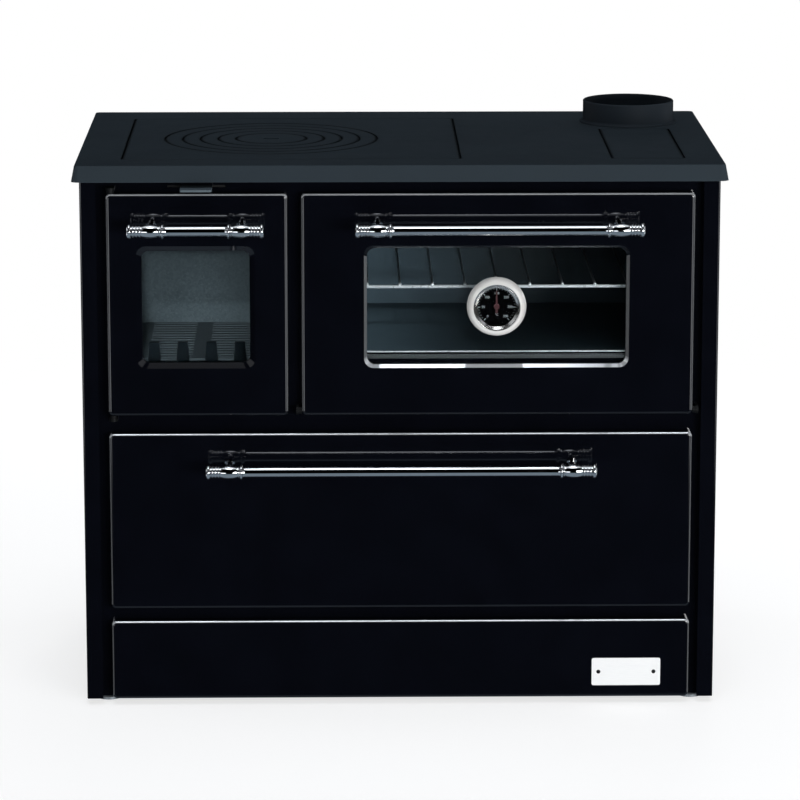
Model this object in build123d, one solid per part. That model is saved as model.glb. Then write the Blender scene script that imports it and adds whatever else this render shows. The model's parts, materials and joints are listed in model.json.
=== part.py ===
from build123d import *
import os

os.makedirs("parts", exist_ok=True)

# Wood cookstove in millimetres. +X right, +Y back, +Z up, origin on the floor under the middle
# of the stove. "Setback" is a distance behind the front edge of the cooktop.

# ---------------------------------------------------------------- overall sizes
TOP_WIDTH = 1000.0
TOP_DEPTH = 600.0
TOP_HEIGHT = 850.0
RIM_HEIGHT = 25.0
RIM_DRAFT = 5.0
OVERHANG = 12.0
GROUND_GAP = 10.0
SHEET = 2.0
RIM_ROUND = 1.5
CUT_PAST = 1.0

# ---------------------------------------------------------------- front face
FLANGE_SETBACK = 10.0
FLANGE_WIDTH = 25.0
FLANGE_CORNER = 2.5
FASCIA_SETBACK = 27.0
PANEL_SETBACK = 8.0
PANEL_THICK = 16.0
PANEL_WALL = 2.5
PANEL_EDGE = 4.5
PANEL_CORNER = 7.0
PANEL_MARGIN_LEFT = 52.0
PANEL_MARGIN_RIGHT = 50.0
DOOR_DROP = 44.0
DOOR_GAP = 21.0
FIRE_DOOR_WIDTH = 276.0
PLINTH_HEIGHT = 125.0
DRAWER_GAP = 20.0
DRAWER_HEIGHT = 278.0
DOOR_LIFT = 28.0

# ---------------------------------------------------------------- windows
WINDOW_DEPTH = 6.0
FIRE_BEVEL = 8.0
OVEN_BEVEL = 4.5
WINDOW_CORNER = 15.0
OPENING_CORNER = 11.0
WINDOW_RIM = 4.0
GLASS = 4.0
FIRE_WINDOW_LEFT = 45.0
FIRE_WINDOW_RIGHT = 50.0
OVEN_WINDOW_LEFT = 95.5
OVEN_WINDOW_RIGHT = 99.5
WINDOW_LIFT = 74.5
WINDOW_DROP = 80.5
LINER_THICK = 6.0
LINER_GAP = 0.3
GASKET_WIDTH = 7.0
GASKET_SQUASH = 0.3
GASKET_MARGIN = 2.0

# ---------------------------------------------------------------- handles
HANDLE_STANDOFF = 55.0
BAR_R = 7.75
END_R = 11.5
POST_R = 5.5
POST_FOOT_R = 8.0
POST_FOOT_THICK = 3.0
HANDLE_DROP = 48.0
FIRE_HANDLE_LENGTH = 206.0
OVEN_HANDLE_LENGTH = 437.0
DRAWER_HANDLE_LENGTH = 596.0

# turned end piece, lengths from the outer end inwards
END_CAP = 6.0
END_GROOVE = 1.4
END_RING = 3.4
END_RINGS = 3
END_BARREL = 25.0
END_BEAD = 2.6
END_COLLAR = 4.6
END_FOOT = 3.0
CAP_EDGE_R = 10.0
GROOVE_R = 8.0
RING_R = 9.5
BARREL_END_R = 8.6
BARREL_R = 10.4
FOOT_R = 8.6

# ---------------------------------------------------------------- hinges
HINGE_INSET = 7.0
HINGE_STANDOFF = 12.0
PIN_R = 3.0
PIN_CLEARANCE = 0.05
PIN_DEPTH = 12.0
PIN_HEAD_R = 5.5
LUG_THICK = 4.0
LUG_REACH = 6.5
LUG_GAP = 5.0
LUG_PLAY = 0.2
BOSS_SIZE = 12.0

# ---------------------------------------------------------------- cooktop
PLATE_THICK = 8.0
CASTING_THICK = 14.0
SEAT_WIDTH = 30.0
PLATE_GAP = 2.0
LEDGE = 9.0
PLATE_MARGIN = 73.0
PLATE_WIDTH = 522.0
PLATE_START = 68.0
PLATE_BACK = 88.0
COVER_MARGIN = 61.0
COVER_WIDTH = 114.0
COVER_GAP = 6.0
PLATE_CORNER = 6.0
RING_OFFSET = 227.0
RING_STEP = 28.0
RING_COUNT = 4
CENTRE_PLATE_R = 56.0
RING_LAP = 7.0
RING_GAP = 0.8
RING_CHAMFER = 1.0
LIFTER_LENGTH = 26.0
LIFTER_WIDTH = 9.0

# ---------------------------------------------------------------- flue collar
FLUE_MARGIN = 121.0
FLUE_BACK = 128.0
FLUE_BORE_R = 70.4
FLUE_WALL = 3.2
FLUE_HEIGHT = 36.0
FLUE_FLANGE = 5.0
FLUE_FLANGE_THICK = 3.0
FLUE_STOP = 4.0
FLUE_STOP_THICK = 3.0
FLUE_CHAMFER = 1.0
FLUE_FOOT = 2.0

# ---------------------------------------------------------------- inside
BACK_SETBACK = TOP_DEPTH - OVERHANG
FLOOR_DROP = 10.0
SHELF_LIFT = 12.0
FIRE_SIDE = 30.0
OPENING_DROP = 21.0
CASE_WALL = 3.0
BRICK = 25.0
FIRE_BACK = 164.0
BRICK_DROP = 65.0
SMOKE_PORT = 50.0
PIT_HEIGHT = 43.0
HEARTH_THICK = 6.0
GRATE_SIDE = 13.0
GRATE_START = 66.0
GRATE_END = 29.0
GRATE_THICK = 10.0
GRATE_REBATE = 3.0
GRATE_LEDGE = 5.0
GRATE_PLAY = 1.0
SLOT_WIDTH = 8.0
SLOT_END = 12.0
SLOT_COUNT = 15
ASH_SIDE = 18.0
ASH_END = 13.0
ASH_HEAD = 5.0
ASH_START = 7.0
ASH_SHEET = 1.5
ASH_PULL = 60.0
ASH_PULL_GAP = 1.0
TEETH = 4
TOOTH_PITCH = 44.0
TOOTH_TIP = 15.0
TOOTH_BASE = 20.0
TOOTH_HEIGHT = 30.0
RETAINER_THICK = 8.0
RETAINER_BAR = 12.0
RETAINER_START = 17.0
RETAINER_PLAY = 2.0
BRICK_START = 16.0
BRICK_JOINT = 1.0

OVEN_SIDE_LEFT = 36.0
OVEN_SIDE_RIGHT = 35.0
OVEN_LIFT = 95.0
OVEN_DROP = 40.0
OVEN_BACK = 148.0
OVEN_CORNER = 12.0
RACK_DROP = 6.0
RACK_PITCH = 50.0
RACK_WIRE_R = 1.75
RACK_BEAD_R = 2.4
RACK_WELD = 0.8
RACK_FRAME_R = 2.5
RACK_START = 20.0
RACK_END = 11.0
RACK_SIDE = 6.0
RUNNER_WIDTH = 11.0
RUNNER_LIP = 10.0
RUNNER_LEVELS = 3
RUNNER_START = 16.0
RUNNER_END = 5.0

# ---------------------------------------------------------------- drawer
BOX_SIDE_GAP = 22.0
BOX_LIFT = 11.0
BOX_DROP = 63.0
BOX_BACK = 68.0
RAIL_WIDTH = 14.0
RAIL_HEIGHT = 15.4
RAIL_LIFT = 32.3
RAIL_CLEARANCE = 0.3
CHANNEL_MOUTH = 3.0
CHANNEL_BACK = 29.0
OPENING_PLAY = 4.0
OPENING_HEAD = 40.0
DRAWER_RIB = 40.0
DRAWER_RIB_PITCH = 300.0

# ---------------------------------------------------------------- air slide
TAB_WIDTH = 48.0
TAB_THICK = 3.0
TAB_DROP = 35.0
TAB_REACH = 22.0
TAB_CLEARANCE = 0.4
SLIDE_TRAVEL = 20.0
SHUTTER_WIDTH = 130.0
SHUTTER_DROP = 28.0
SHUTTER_HEIGHT = 29.0
AIR_HOLE_R = 4.0
AIR_HOLE_DROP = 50.0
AIR_HOLE_PITCH = 30.0
AIR_HOLES = 4

# ---------------------------------------------------------------- thermometer
BEZEL_R = 45.5
BEZEL_STEP_R = 34.75
BEZEL_GROOVE = 1.0
BEZEL_GROOVE_DEPTH = 2.0
BEZEL_DEPTH = 16.0
BEZEL_SKIRT = 4.0
BEZEL_SHOULDER = 2.0
BEZEL_CROWN = 5.0
BEZEL_LAND = 1.5
DIAL_R = 33.0
DIAL_PLAY = 0.3
DIAL_THICK = 1.2
LENS_THICK = 2.0
LENS_LIP = 3.0
LENS_SETBACK = 5.0
LENS_BEVEL = 1.0
STEM_R = 3.0
STEM_CLEARANCE = 0.2
STEM_END = 60.0
STEM_NUT_R = 12.0
STEM_NUT_THICK = 3.0
GLASS_HOLE_R = 9.0
SPINDLE_R = 1.2
SPINDLE_CLEARANCE = 0.3
NEEDLE_TIP = 25.0
NEEDLE_TAIL = 10.0
NEEDLE_WIDTH = 3.2
NEEDLE_THICK = 1.2
NEEDLE_LIFT = 1.0
HUB_R = 4.2
HUB_RISE = 0.8

# ---------------------------------------------------------------- feet and base
FOOT_PAD_R = 20.0
FOOT_PAD = 6.0
FOOT_CHAMFER = 2.0
FOOT_COLLAR_R = 8.5
STUD_R = 5.0
STUD_LENGTH = 18.0
STUD_PLAY = 0.2
BASE_FLANGE = 60.0
BASE_WALL = 3.0
BASE_HEIGHT = 30.0

# ---------------------------------------------------------------- back panel vents
VENT_LENGTH = 60.0
VENT_HEIGHT = 8.0
VENT_COUNT = 5
VENT_PITCH = 90.0
VENT_ROWS = 2
VENT_ROW_PITCH = 20.0
VENT_Z = 70.0

# ---------------------------------------------------------------- worked out
handle_reach = HANDLE_STANDOFF + END_R - PANEL_SETBACK
FRONT_Y = (handle_reach - TOP_DEPTH) / 2
body_half = TOP_WIDTH / 2 - OVERHANG
body_inner = body_half - SHEET
rim_z = TOP_HEIGHT - RIM_HEIGHT
casting_z = TOP_HEIGHT - CASTING_THICK
plate_z = TOP_HEIGHT - PLATE_THICK
lap_z = TOP_HEIGHT - PLATE_THICK / 2
case_top = rim_z


def y_at(setback):
    return FRONT_Y + setback


fascia_y = y_at(FASCIA_SETBACK)
inside_y = fascia_y + SHEET
back_y = y_at(BACK_SETBACK)
panel_y = y_at(PANEL_SETBACK)
panel_back_y = panel_y + PANEL_THICK
glass_y = panel_y + WINDOW_DEPTH
liner_y = glass_y + GLASS
handle_y = panel_y - HANDLE_STANDOFF
hinge_y = fascia_y - HINGE_STANDOFF

panel_left = -TOP_WIDTH / 2 + PANEL_MARGIN_LEFT
panel_right = TOP_WIDTH / 2 - PANEL_MARGIN_RIGHT
panel_centre = (panel_left + panel_right) / 2
fire_left = panel_left
fire_right = fire_left + FIRE_DOOR_WIDTH
oven_left = fire_right + DOOR_GAP
oven_right = panel_right
oven_x = (oven_left + oven_right) / 2

plinth_top = GROUND_GAP + PLINTH_HEIGHT
drawer_bottom = plinth_top + DRAWER_GAP
drawer_top = drawer_bottom + DRAWER_HEIGHT
box_bottom = drawer_bottom + BOX_LIFT
box_top = drawer_top - BOX_DROP
rail_z = box_bottom + RAIL_LIFT
door_bottom = drawer_top + DOOR_LIFT
door_top = TOP_HEIGHT - DOOR_DROP
window_bottom = door_bottom + WINDOW_LIFT
window_top = door_top - WINDOW_DROP
window_middle = (window_bottom + window_top) / 2
door_handle_z = door_top - HANDLE_DROP
drawer_handle_z = drawer_top - HANDLE_DROP

fire_window_x = (fire_left + FIRE_WINDOW_LEFT + fire_right - FIRE_WINDOW_RIGHT) / 2
fire_window_width = FIRE_DOOR_WIDTH - FIRE_WINDOW_LEFT - FIRE_WINDOW_RIGHT
oven_window_x = (oven_left + OVEN_WINDOW_LEFT + oven_right - OVEN_WINDOW_RIGHT) / 2
oven_window_width = oven_right - oven_left - OVEN_WINDOW_LEFT - OVEN_WINDOW_RIGHT

fire_hinge_x = fire_left + HINGE_INSET
oven_hinge_z = door_bottom + HINGE_INSET
shelf_z = door_bottom + SHELF_LIFT
floor_z = drawer_bottom - FLOOR_DROP
fire_x = (fire_left + fire_right) / 2
fire_half = FIRE_DOOR_WIDTH / 2 - FIRE_SIDE
fire_opening_top = door_top - OPENING_DROP
case_inner_half = fire_half + BRICK
case_half = case_inner_half + CASE_WALL
case_floor_z = shelf_z + SHEET
pit_z = case_floor_z + CASE_WALL
hearth_z = pit_z + PIT_HEIGHT
hearth_top = hearth_z + HEARTH_THICK
fire_end_y = back_y - FIRE_BACK
brick_top = case_top - BRICK_DROP
grate_half = fire_half - GRATE_SIDE
grate_y0 = inside_y + GRATE_START
grate_y1 = fire_end_y - GRATE_END

oven_x0 = oven_left + OVEN_SIDE_LEFT
oven_x1 = oven_right - OVEN_SIDE_RIGHT
oven_z0 = door_bottom + OVEN_LIFT
oven_z1 = door_top - OVEN_DROP
oven_back_y = back_y - OVEN_BACK
rack_z = (oven_z0 + oven_z1) / 2 - RACK_DROP
runner_spacing = (oven_z1 - oven_z0) / (RUNNER_LEVELS + 1)

box_left = panel_left + BOX_SIDE_GAP
box_right = panel_right - BOX_SIDE_GAP
box_back_y = back_y - BOX_BACK

plate_left = -TOP_WIDTH / 2 + PLATE_MARGIN
cover_right = TOP_WIDTH / 2 - COVER_MARGIN
ring_x = plate_left + RING_OFFSET
ring_y = y_at((PLATE_START + TOP_DEPTH - PLATE_BACK) / 2)
rings_r = CENTRE_PLATE_R + RING_COUNT * RING_STEP
flue_x = TOP_WIDTH / 2 - FLUE_MARGIN
flue_y = y_at(TOP_DEPTH - FLUE_BACK)
collar_r = FLUE_BORE_R + FLUE_WALL
tab_z = TOP_HEIGHT - TAB_DROP
shutter_top = TOP_HEIGHT - SHUTTER_DROP
air_hole_z = TOP_HEIGHT - AIR_HOLE_DROP
barrel_start = END_CAP + END_RINGS * (END_GROOVE + END_RING) + END_GROOVE
end_length = barrel_start + END_BARREL + END_GROOVE + END_BEAD + END_COLLAR + END_FOOT


# ---------------------------------------------------------------- shared shapes
def block(x0, x1, y0, y1, z0, z1):
    centre = Pos((x0 + x1) / 2, (y0 + y1) / 2, (z0 + z1) / 2)
    return centre * Box(x1 - x0, y1 - y0, z1 - z0)


def front_plane(x, y, z):
    return Plane(origin=(x, y, z), x_dir=(1, 0, 0), z_dir=(0, -1, 0))


def front_slab(x0, x1, z0, z1, y0, y1, corner):
    outline = RectangleRounded(x1 - x0, z1 - z0, corner)
    return extrude(front_plane((x0 + x1) / 2, y1, (z0 + z1) / 2) * outline, y1 - y0)


def front_disc(x, z, radius, y0, y1):
    return extrude(front_plane(x, y1, z) * Circle(radius), y1 - y0)


def upright(x, y, radius, z0, z1):
    return Pos(x, y, (z0 + z1) / 2) * Cylinder(radius, z1 - z0)


def across(z, y, radius, x0, x1):
    return Pos((x0 + x1) / 2, y, z) * Rot(0, 90, 0) * Cylinder(radius, x1 - x0)


def lengthwise(x, z, radius, y0, y1):
    return Pos(x, (y0 + y1) / 2, z) * Rot(90, 0, 0) * Cylinder(radius, y1 - y0)


def pan(x0, x1, z0, z1):
    """Pressed front panel: rolled front edge, open back."""
    skin = front_slab(x0, x1, z0, z1, panel_y, panel_back_y, PANEL_CORNER)
    front_edges = skin.faces().sort_by(Axis.Y)[0].edges()
    skin = fillet(front_edges, PANEL_EDGE)
    wall = PANEL_WALL
    hollow = front_slab(x0 + wall, x1 - wall, z0 + wall, z1 - wall,
                        panel_y + wall, panel_back_y, PANEL_CORNER - wall)
    return skin - hollow


def clear_opening(width, bevel):
    """What is left of a window's outline inside its bevel."""
    height = window_top - window_bottom
    return RectangleRounded(width - 2 * bevel, height - 2 * bevel, WINDOW_CORNER - bevel / 2)


def window_cut(centre_x, width, bevel, y_deep):
    """Bevelled window: wide at the face, narrower at the glass, then straight through."""
    outer = RectangleRounded(width, window_top - window_bottom, WINDOW_CORNER)
    inner = clear_opening(width, bevel)
    slope = loft([front_plane(centre_x, panel_y, window_middle) * outer,
                  front_plane(centre_x, glass_y, window_middle) * inner], ruled=True)
    through = extrude(front_plane(centre_x, y_deep, window_middle) * inner, y_deep - panel_y)
    return slope + through


def window_frame(centre_x, width):
    """Thickened edge round the window that the glass lies against."""
    half = width / 2 + WINDOW_RIM
    return front_slab(centre_x - half, centre_x + half, window_bottom - WINDOW_RIM,
                      window_top + WINDOW_RIM, panel_y + PANEL_WALL / 2, glass_y,
                      WINDOW_CORNER + WINDOW_RIM)


def pillar(x, z):
    """Boss that the liner is screwed to."""
    half = BOSS_SIZE / 2
    return block(x - half, x + half, panel_y + PANEL_WALL / 2, liner_y, z - half, z + half)


def window_door(x0, x1, centre_x, width, bevel):
    """Door panel with its window and four liner bosses in the corners."""
    inset = PANEL_WALL + BOSS_SIZE / 2
    panel = pan(x0, x1, door_bottom, door_top) + window_frame(centre_x, width)
    for x in (x0 + inset, x1 - inset):
        for z in (door_bottom + inset, door_top - inset):
            panel += pillar(x, z)
    return panel - window_cut(centre_x, width, bevel, liner_y)


def door_liner(x0, x1, centre_x, width, bevel):
    """Flat cast frame that clamps the glass from behind."""
    inset = PANEL_WALL + LINER_GAP
    plate = front_slab(x0 + inset, x1 - inset, door_bottom + inset, door_top - inset,
                       liner_y, panel_back_y, PANEL_CORNER - PANEL_WALL)
    opening = front_plane(centre_x, panel_back_y, window_middle) * clear_opening(width, bevel)
    return plate - extrude(opening, LINER_THICK)


def door_glass(centre_x, width):
    half = width / 2 + WINDOW_RIM
    return front_slab(centre_x - half, centre_x + half, window_bottom - WINDOW_RIM,
                      window_top + WINDOW_RIM, glass_y, liner_y, WINDOW_CORNER)


def door_gasket(x0, x1, z0, z1, corner):
    """Rope seal round the opening behind the door, a little short of the fascia."""
    inner = GASKET_MARGIN
    outer = GASKET_MARGIN + GASKET_WIDTH
    y1 = fascia_y - GASKET_SQUASH
    rope = front_slab(x0 - outer, x1 + outer, z0 - outer, z1 + outer, panel_back_y, y1, corner + outer)
    hole = front_slab(x0 - inner, x1 + inner, z0 - inner, z1 + inner, panel_back_y, y1, corner + inner)
    return rope - hole


# ---------------------------------------------------------------- handles
def crown(x, width, edge_r, middle_r):
    """Rounded top of a ring in the turned profile."""
    return ThreePointArc((x, edge_r), (x + width / 2, middle_r), (x + width, edge_r))


def turned_end():
    """Turned end piece lying along +X from its outer face: cap, three rings, barrel, bead, collar."""
    profile = Line((0, 0), (0, CAP_EDGE_R))
    profile += crown(0, END_CAP, CAP_EDGE_R, END_R)
    x = END_CAP
    profile += Line((x, CAP_EDGE_R), (x, GROOVE_R))
    for index in range(END_RINGS):
        profile += Line((x, GROOVE_R), (x + END_GROOVE, GROOVE_R))
        x += END_GROOVE
        profile += crown(x, END_RING, GROOVE_R, RING_R)
        x += END_RING
    profile += Line((x, GROOVE_R), (barrel_start, GROOVE_R))
    x = barrel_start
    profile += Line((x, GROOVE_R), (x, BARREL_END_R))
    profile += crown(x, END_BARREL, BARREL_END_R, BARREL_R)
    x += END_BARREL
    profile += Line((x, BARREL_END_R), (x, GROOVE_R))
    profile += Line((x, GROOVE_R), (x + END_GROOVE, GROOVE_R))
    x += END_GROOVE
    profile += crown(x, END_BEAD, GROOVE_R, RING_R)
    x += END_BEAD
    profile += Line((x, GROOVE_R), (x, CAP_EDGE_R))
    profile += crown(x, END_COLLAR, CAP_EDGE_R, END_R)
    x += END_COLLAR
    profile += Line((x, CAP_EDGE_R), (x, FOOT_R))
    profile += Line((x, FOOT_R), (end_length, BAR_R))
    profile += Line((end_length, BAR_R), (end_length, 0))
    profile += Line((end_length, 0), (0, 0))
    return revolve(make_face(profile), Axis.X)


def handle_post(offset):
    """Round post from the barrel's middle back to the panel."""
    post = lengthwise(offset, 0, POST_R, 0, HANDLE_STANDOFF)
    return post + lengthwise(offset, 0, POST_FOOT_R, HANDLE_STANDOFF - POST_FOOT_THICK, HANDLE_STANDOFF)


def handle_ends(centre_x, length, z):
    end = turned_end() + handle_post(barrel_start + END_BARREL / 2)
    left = Pos(centre_x - length / 2, handle_y, z) * end
    right = Pos(centre_x + length / 2, handle_y, z) * mirror(end, Plane.YZ)
    return Compound(children=[left.solid(), right.solid()])


def handle_bar(centre_x, length, z):
    half = length / 2 - end_length
    return across(z, handle_y, BAR_R, centre_x - half, centre_x + half)


# ---------------------------------------------------------------- casing
def side_panel(side):
    """Sheet side with a rounded front corner, a front flange and a short return to the fascia."""
    front = y_at(FLANGE_SETBACK)
    outer = block(-body_half, -body_half + FLANGE_WIDTH, front, back_y, GROUND_GAP, rim_z)
    corner = outer.edges().filter_by(Axis.Z).group_by(Axis.Y)[0].sort_by(Axis.X)[0]
    outer = fillet(corner, FLANGE_CORNER)
    inner = block(-body_inner, -body_half + FLANGE_WIDTH - SHEET, front + SHEET, back_y + CUT_PAST,
                  GROUND_GAP - CUT_PAST, rim_z + CUT_PAST)
    corner = inner.edges().filter_by(Axis.Z).group_by(Axis.Y)[0].sort_by(Axis.X)[0]
    inner = fillet(corner, FLANGE_CORNER - SHEET)
    lip = -body_half + FLANGE_WIDTH
    open_side = block(lip - SHEET - CUT_PAST, lip + CUT_PAST, fascia_y, back_y + CUT_PAST,
                      GROUND_GAP - CUT_PAST, rim_z + CUT_PAST)
    panel = outer - inner - open_side
    return panel if side < 0 else mirror(panel, Plane.YZ)


def back_panel():
    panel = block(-body_inner, body_inner, back_y - SHEET, back_y, GROUND_GAP, rim_z)
    for row in range(VENT_ROWS):
        for column in range(VENT_COUNT):
            x = (column - (VENT_COUNT - 1) / 2) * VENT_PITCH
            z = VENT_Z + row * VENT_ROW_PITCH
            slot = front_plane(x, back_y, z) * SlotOverall(VENT_LENGTH, VENT_HEIGHT)
            panel -= extrude(slot, SHEET)
    return panel


def air_holes(y0, y1):
    holes = []
    for index in range(AIR_HOLES):
        x = fire_x + (index - (AIR_HOLES - 1) / 2) * AIR_HOLE_PITCH
        holes.append(front_disc(x, air_hole_z, AIR_HOLE_R, y0, y1))
    return holes


def drawer_opening():
    return (panel_left + OPENING_PLAY, panel_right - OPENING_PLAY)


def front_fascia():
    plate = block(-body_inner, body_inner, fascia_y, inside_y, GROUND_GAP, rim_z)
    plate -= front_slab(fire_x - fire_half, fire_x + fire_half, pit_z, fire_opening_top,
                        fascia_y, inside_y, OPENING_CORNER)
    plate -= front_slab(oven_x0, oven_x1, oven_z0, oven_z1, fascia_y, inside_y, OVEN_CORNER)
    left, right = drawer_opening()
    plate -= block(left, right, fascia_y, inside_y, drawer_bottom + OPENING_PLAY, box_top + OPENING_HEAD)
    reach = TAB_WIDTH / 2 + SLIDE_TRAVEL + TAB_CLEARANCE
    tall = TAB_THICK / 2 + TAB_CLEARANCE
    plate -= block(fire_x - reach, fire_x + reach, fascia_y, inside_y, tab_z - tall, tab_z + tall)
    for hole in air_holes(fascia_y, inside_y):
        plate -= hole
    return plate


def plinth_panel():
    panel = front_slab(panel_left, panel_right, GROUND_GAP, plinth_top, panel_y, fascia_y, PANEL_CORNER)
    panel = fillet(panel.faces().sort_by(Axis.Y)[0].edges(), PANEL_EDGE)
    wall = PANEL_WALL
    return panel - front_slab(panel_left + wall, panel_right - wall, GROUND_GAP + wall, plinth_top - wall,
                              panel_y + wall, fascia_y, PANEL_CORNER - wall)


def foot_places():
    inset = BASE_FLANGE / 2
    xs = (-body_inner + inset, body_inner - inset)
    ys = (inside_y + inset, back_y - SHEET - inset)
    return [(x, y) for x in xs for y in ys]


def base_frame():
    """Angle-iron ring: upright web outside, flange inwards for the feet."""
    y0 = inside_y
    y1 = back_y - SHEET
    top = GROUND_GAP + BASE_HEIGHT
    ring = block(-body_inner, body_inner, y0, y1, GROUND_GAP, top)
    ring -= block(-body_inner + BASE_WALL, body_inner - BASE_WALL, y0 + BASE_WALL, y1 - BASE_WALL,
                  GROUND_GAP + BASE_WALL, top)
    ring -= block(-body_inner + BASE_FLANGE, body_inner - BASE_FLANGE, y0 + BASE_FLANGE, y1 - BASE_FLANGE,
                  GROUND_GAP, GROUND_GAP + BASE_WALL)
    for x, y in foot_places():
        ring -= upright(x, y, STUD_R + STUD_PLAY, GROUND_GAP, GROUND_GAP + BASE_WALL)
    return ring


def levelling_feet():
    feet = []
    for x, y in foot_places():
        pad = upright(x, y, FOOT_PAD_R, 0, FOOT_PAD)
        pad = chamfer(pad.faces().sort_by(Axis.Z)[-1].edges(), FOOT_CHAMFER)
        collar = upright(x, y, FOOT_COLLAR_R, FOOT_PAD, GROUND_GAP)
        stud = upright(x, y, STUD_R, GROUND_GAP, GROUND_GAP + STUD_LENGTH)
        feet.append((pad + collar + stud).solid())
    return Compound(children=feet)


def flat_shelf(z):
    return block(-body_inner, body_inner, inside_y, back_y - SHEET, z, z + SHEET)


# ---------------------------------------------------------------- cooktop
HOT_PLATE = (plate_left, plate_left + PLATE_WIDTH, TOP_DEPTH - PLATE_BACK)
COVER = (cover_right - COVER_WIDTH, cover_right, TOP_DEPTH - FLUE_BACK - collar_r - FLUE_FLANGE - COVER_GAP)


def plate_slab(outline, grow, z0, z1):
    """Rounded slab over a loose plate's left edge, right edge and back setback."""
    x0, x1, end = outline
    y0 = y_at(PLATE_START) - grow
    y1 = y_at(end) + grow
    corner = PLATE_CORNER + grow if grow > 0 else PLATE_CORNER
    sketch = Pos((x0 + x1) / 2, (y0 + y1) / 2, z0) * RectangleRounded(x1 - x0 + 2 * grow, y1 - y0, corner)
    return extrude(sketch, z1 - z0)


def cooktop_frame():
    """Cast frame with drafted rim, rebates for the plates and a hole for the flue."""
    middle_y = y_at(TOP_DEPTH / 2)
    low = Pos(0, middle_y, rim_z) * RectangleRounded(TOP_WIDTH, TOP_DEPTH, PANEL_CORNER + RIM_DRAFT)
    high = Pos(0, middle_y, TOP_HEIGHT) * RectangleRounded(TOP_WIDTH - 2 * RIM_DRAFT,
                                                           TOP_DEPTH - 2 * RIM_DRAFT, PANEL_CORNER)
    frame = loft([low, high], ruled=True)
    frame = fillet(frame.faces().sort_by(Axis.Z)[-1].edges(), RIM_ROUND)
    seat_x = TOP_WIDTH / 2 - SEAT_WIDTH
    frame -= block(-seat_x, seat_x, y_at(SEAT_WIDTH), y_at(TOP_DEPTH - SEAT_WIDTH), rim_z, casting_z)
    for outline in (HOT_PLATE, COVER):
        frame -= plate_slab(outline, 0, plate_z, TOP_HEIGHT)
        frame -= plate_slab(outline, -LEDGE, casting_z, plate_z)
    return frame - upright(flue_x, flue_y, FLUE_BORE_R, casting_z, TOP_HEIGHT)


def loose_plate(outline):
    plate = plate_slab(outline, -PLATE_GAP, plate_z, TOP_HEIGHT)
    return chamfer(plate.faces().sort_by(Axis.Z)[-1].edges(), RING_CHAMFER)


def hot_plate():
    plate = loose_plate(HOT_PLATE)
    plate -= upright(ring_x, ring_y, rings_r + RING_GAP, lap_z, TOP_HEIGHT)
    return plate - upright(ring_x, ring_y, rings_r - RING_LAP, plate_z, lap_z)


def cooking_ring(outer, inner):
    """Ring that overhangs its outer neighbour's ledge and offers a ledge to the inner one."""
    top_out = outer - RING_GAP
    low_out = outer - RING_LAP - RING_GAP
    top_in = inner + RING_GAP
    low_in = inner - RING_LAP
    profile = Polyline((top_in + RING_CHAMFER, TOP_HEIGHT), (top_out - RING_CHAMFER, TOP_HEIGHT),
                       (top_out, TOP_HEIGHT - RING_CHAMFER), (top_out, lap_z), (low_out, lap_z),
                       (low_out, plate_z), (low_in, plate_z), (low_in, lap_z), (top_in, lap_z),
                       (top_in, TOP_HEIGHT - RING_CHAMFER), close=True)
    return Pos(ring_x, ring_y, 0) * revolve(make_face(Plane.XZ * profile), Axis.Z)


def centre_plate():
    top_out = CENTRE_PLATE_R - RING_GAP
    low_out = top_out - RING_LAP
    profile = Polyline((0, TOP_HEIGHT), (top_out - RING_CHAMFER, TOP_HEIGHT),
                       (top_out, TOP_HEIGHT - RING_CHAMFER), (top_out, lap_z), (low_out, lap_z),
                       (low_out, plate_z), (0, plate_z), close=True)
    disc = revolve(make_face(Plane.XZ * profile), Axis.Z)
    notch = Pos(0, 0, lap_z) * SlotOverall(LIFTER_LENGTH, LIFTER_WIDTH)
    disc -= extrude(notch, PLATE_THICK / 2)
    return Pos(ring_x, ring_y, 0) * disc


def flue_collar():
    """Spigot socket on a low flange, with a small stop that the pipe stands on."""
    bore = FLUE_BORE_R
    neck = collar_r
    flange = neck + FLUE_FLANGE
    top = TOP_HEIGHT + FLUE_HEIGHT
    flange_z = TOP_HEIGHT + FLUE_FLANGE_THICK
    stop = TOP_HEIGHT + FLUE_STOP_THICK
    profile = Polyline((bore - FLUE_STOP, TOP_HEIGHT), (flange, TOP_HEIGHT), (flange, flange_z - FLUE_CHAMFER),
                       (flange - FLUE_CHAMFER, flange_z), (neck + FLUE_FOOT, flange_z),
                       (neck, flange_z + FLUE_FOOT), (neck, top - FLUE_CHAMFER), (neck - FLUE_CHAMFER, top),
                       (bore, top), (bore, stop), (bore - FLUE_STOP, stop), close=True)
    return Pos(flue_x, flue_y, 0) * revolve(make_face(Plane.XZ * profile), Axis.Z)


# ---------------------------------------------------------------- firebox
def firebox_case():
    x0 = fire_x - case_half
    x1 = fire_x + case_half
    y1 = fire_end_y + BRICK
    case = block(x0, x1, inside_y, y1 + CASE_WALL, case_floor_z, case_top)
    case -= block(x0 + CASE_WALL, x1 - CASE_WALL, inside_y, y1, pit_z, case_top)
    return case - block(x1 - CASE_WALL, x1, inside_y + BRICK, fire_end_y, case_top - SMOKE_PORT, case_top)


def side_bricks(side):
    """Two vermiculite slabs in a row with a dry joint."""
    inner = fire_x + side * fire_half
    outer = inner + side * BRICK
    start = inside_y + BRICK_START
    end = fire_end_y + BRICK
    half = (end - start - BRICK_JOINT) / 2
    low, high = min(inner, outer), max(inner, outer)
    front = block(low, high, start, start + half, hearth_top, brick_top)
    rear = block(low, high, end - half, end, hearth_top, brick_top)
    return Compound(children=[front.solid(), rear.solid()])


def back_brick():
    return block(fire_x - fire_half, fire_x + fire_half, fire_end_y, fire_end_y + BRICK, hearth_top, brick_top)


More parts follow.
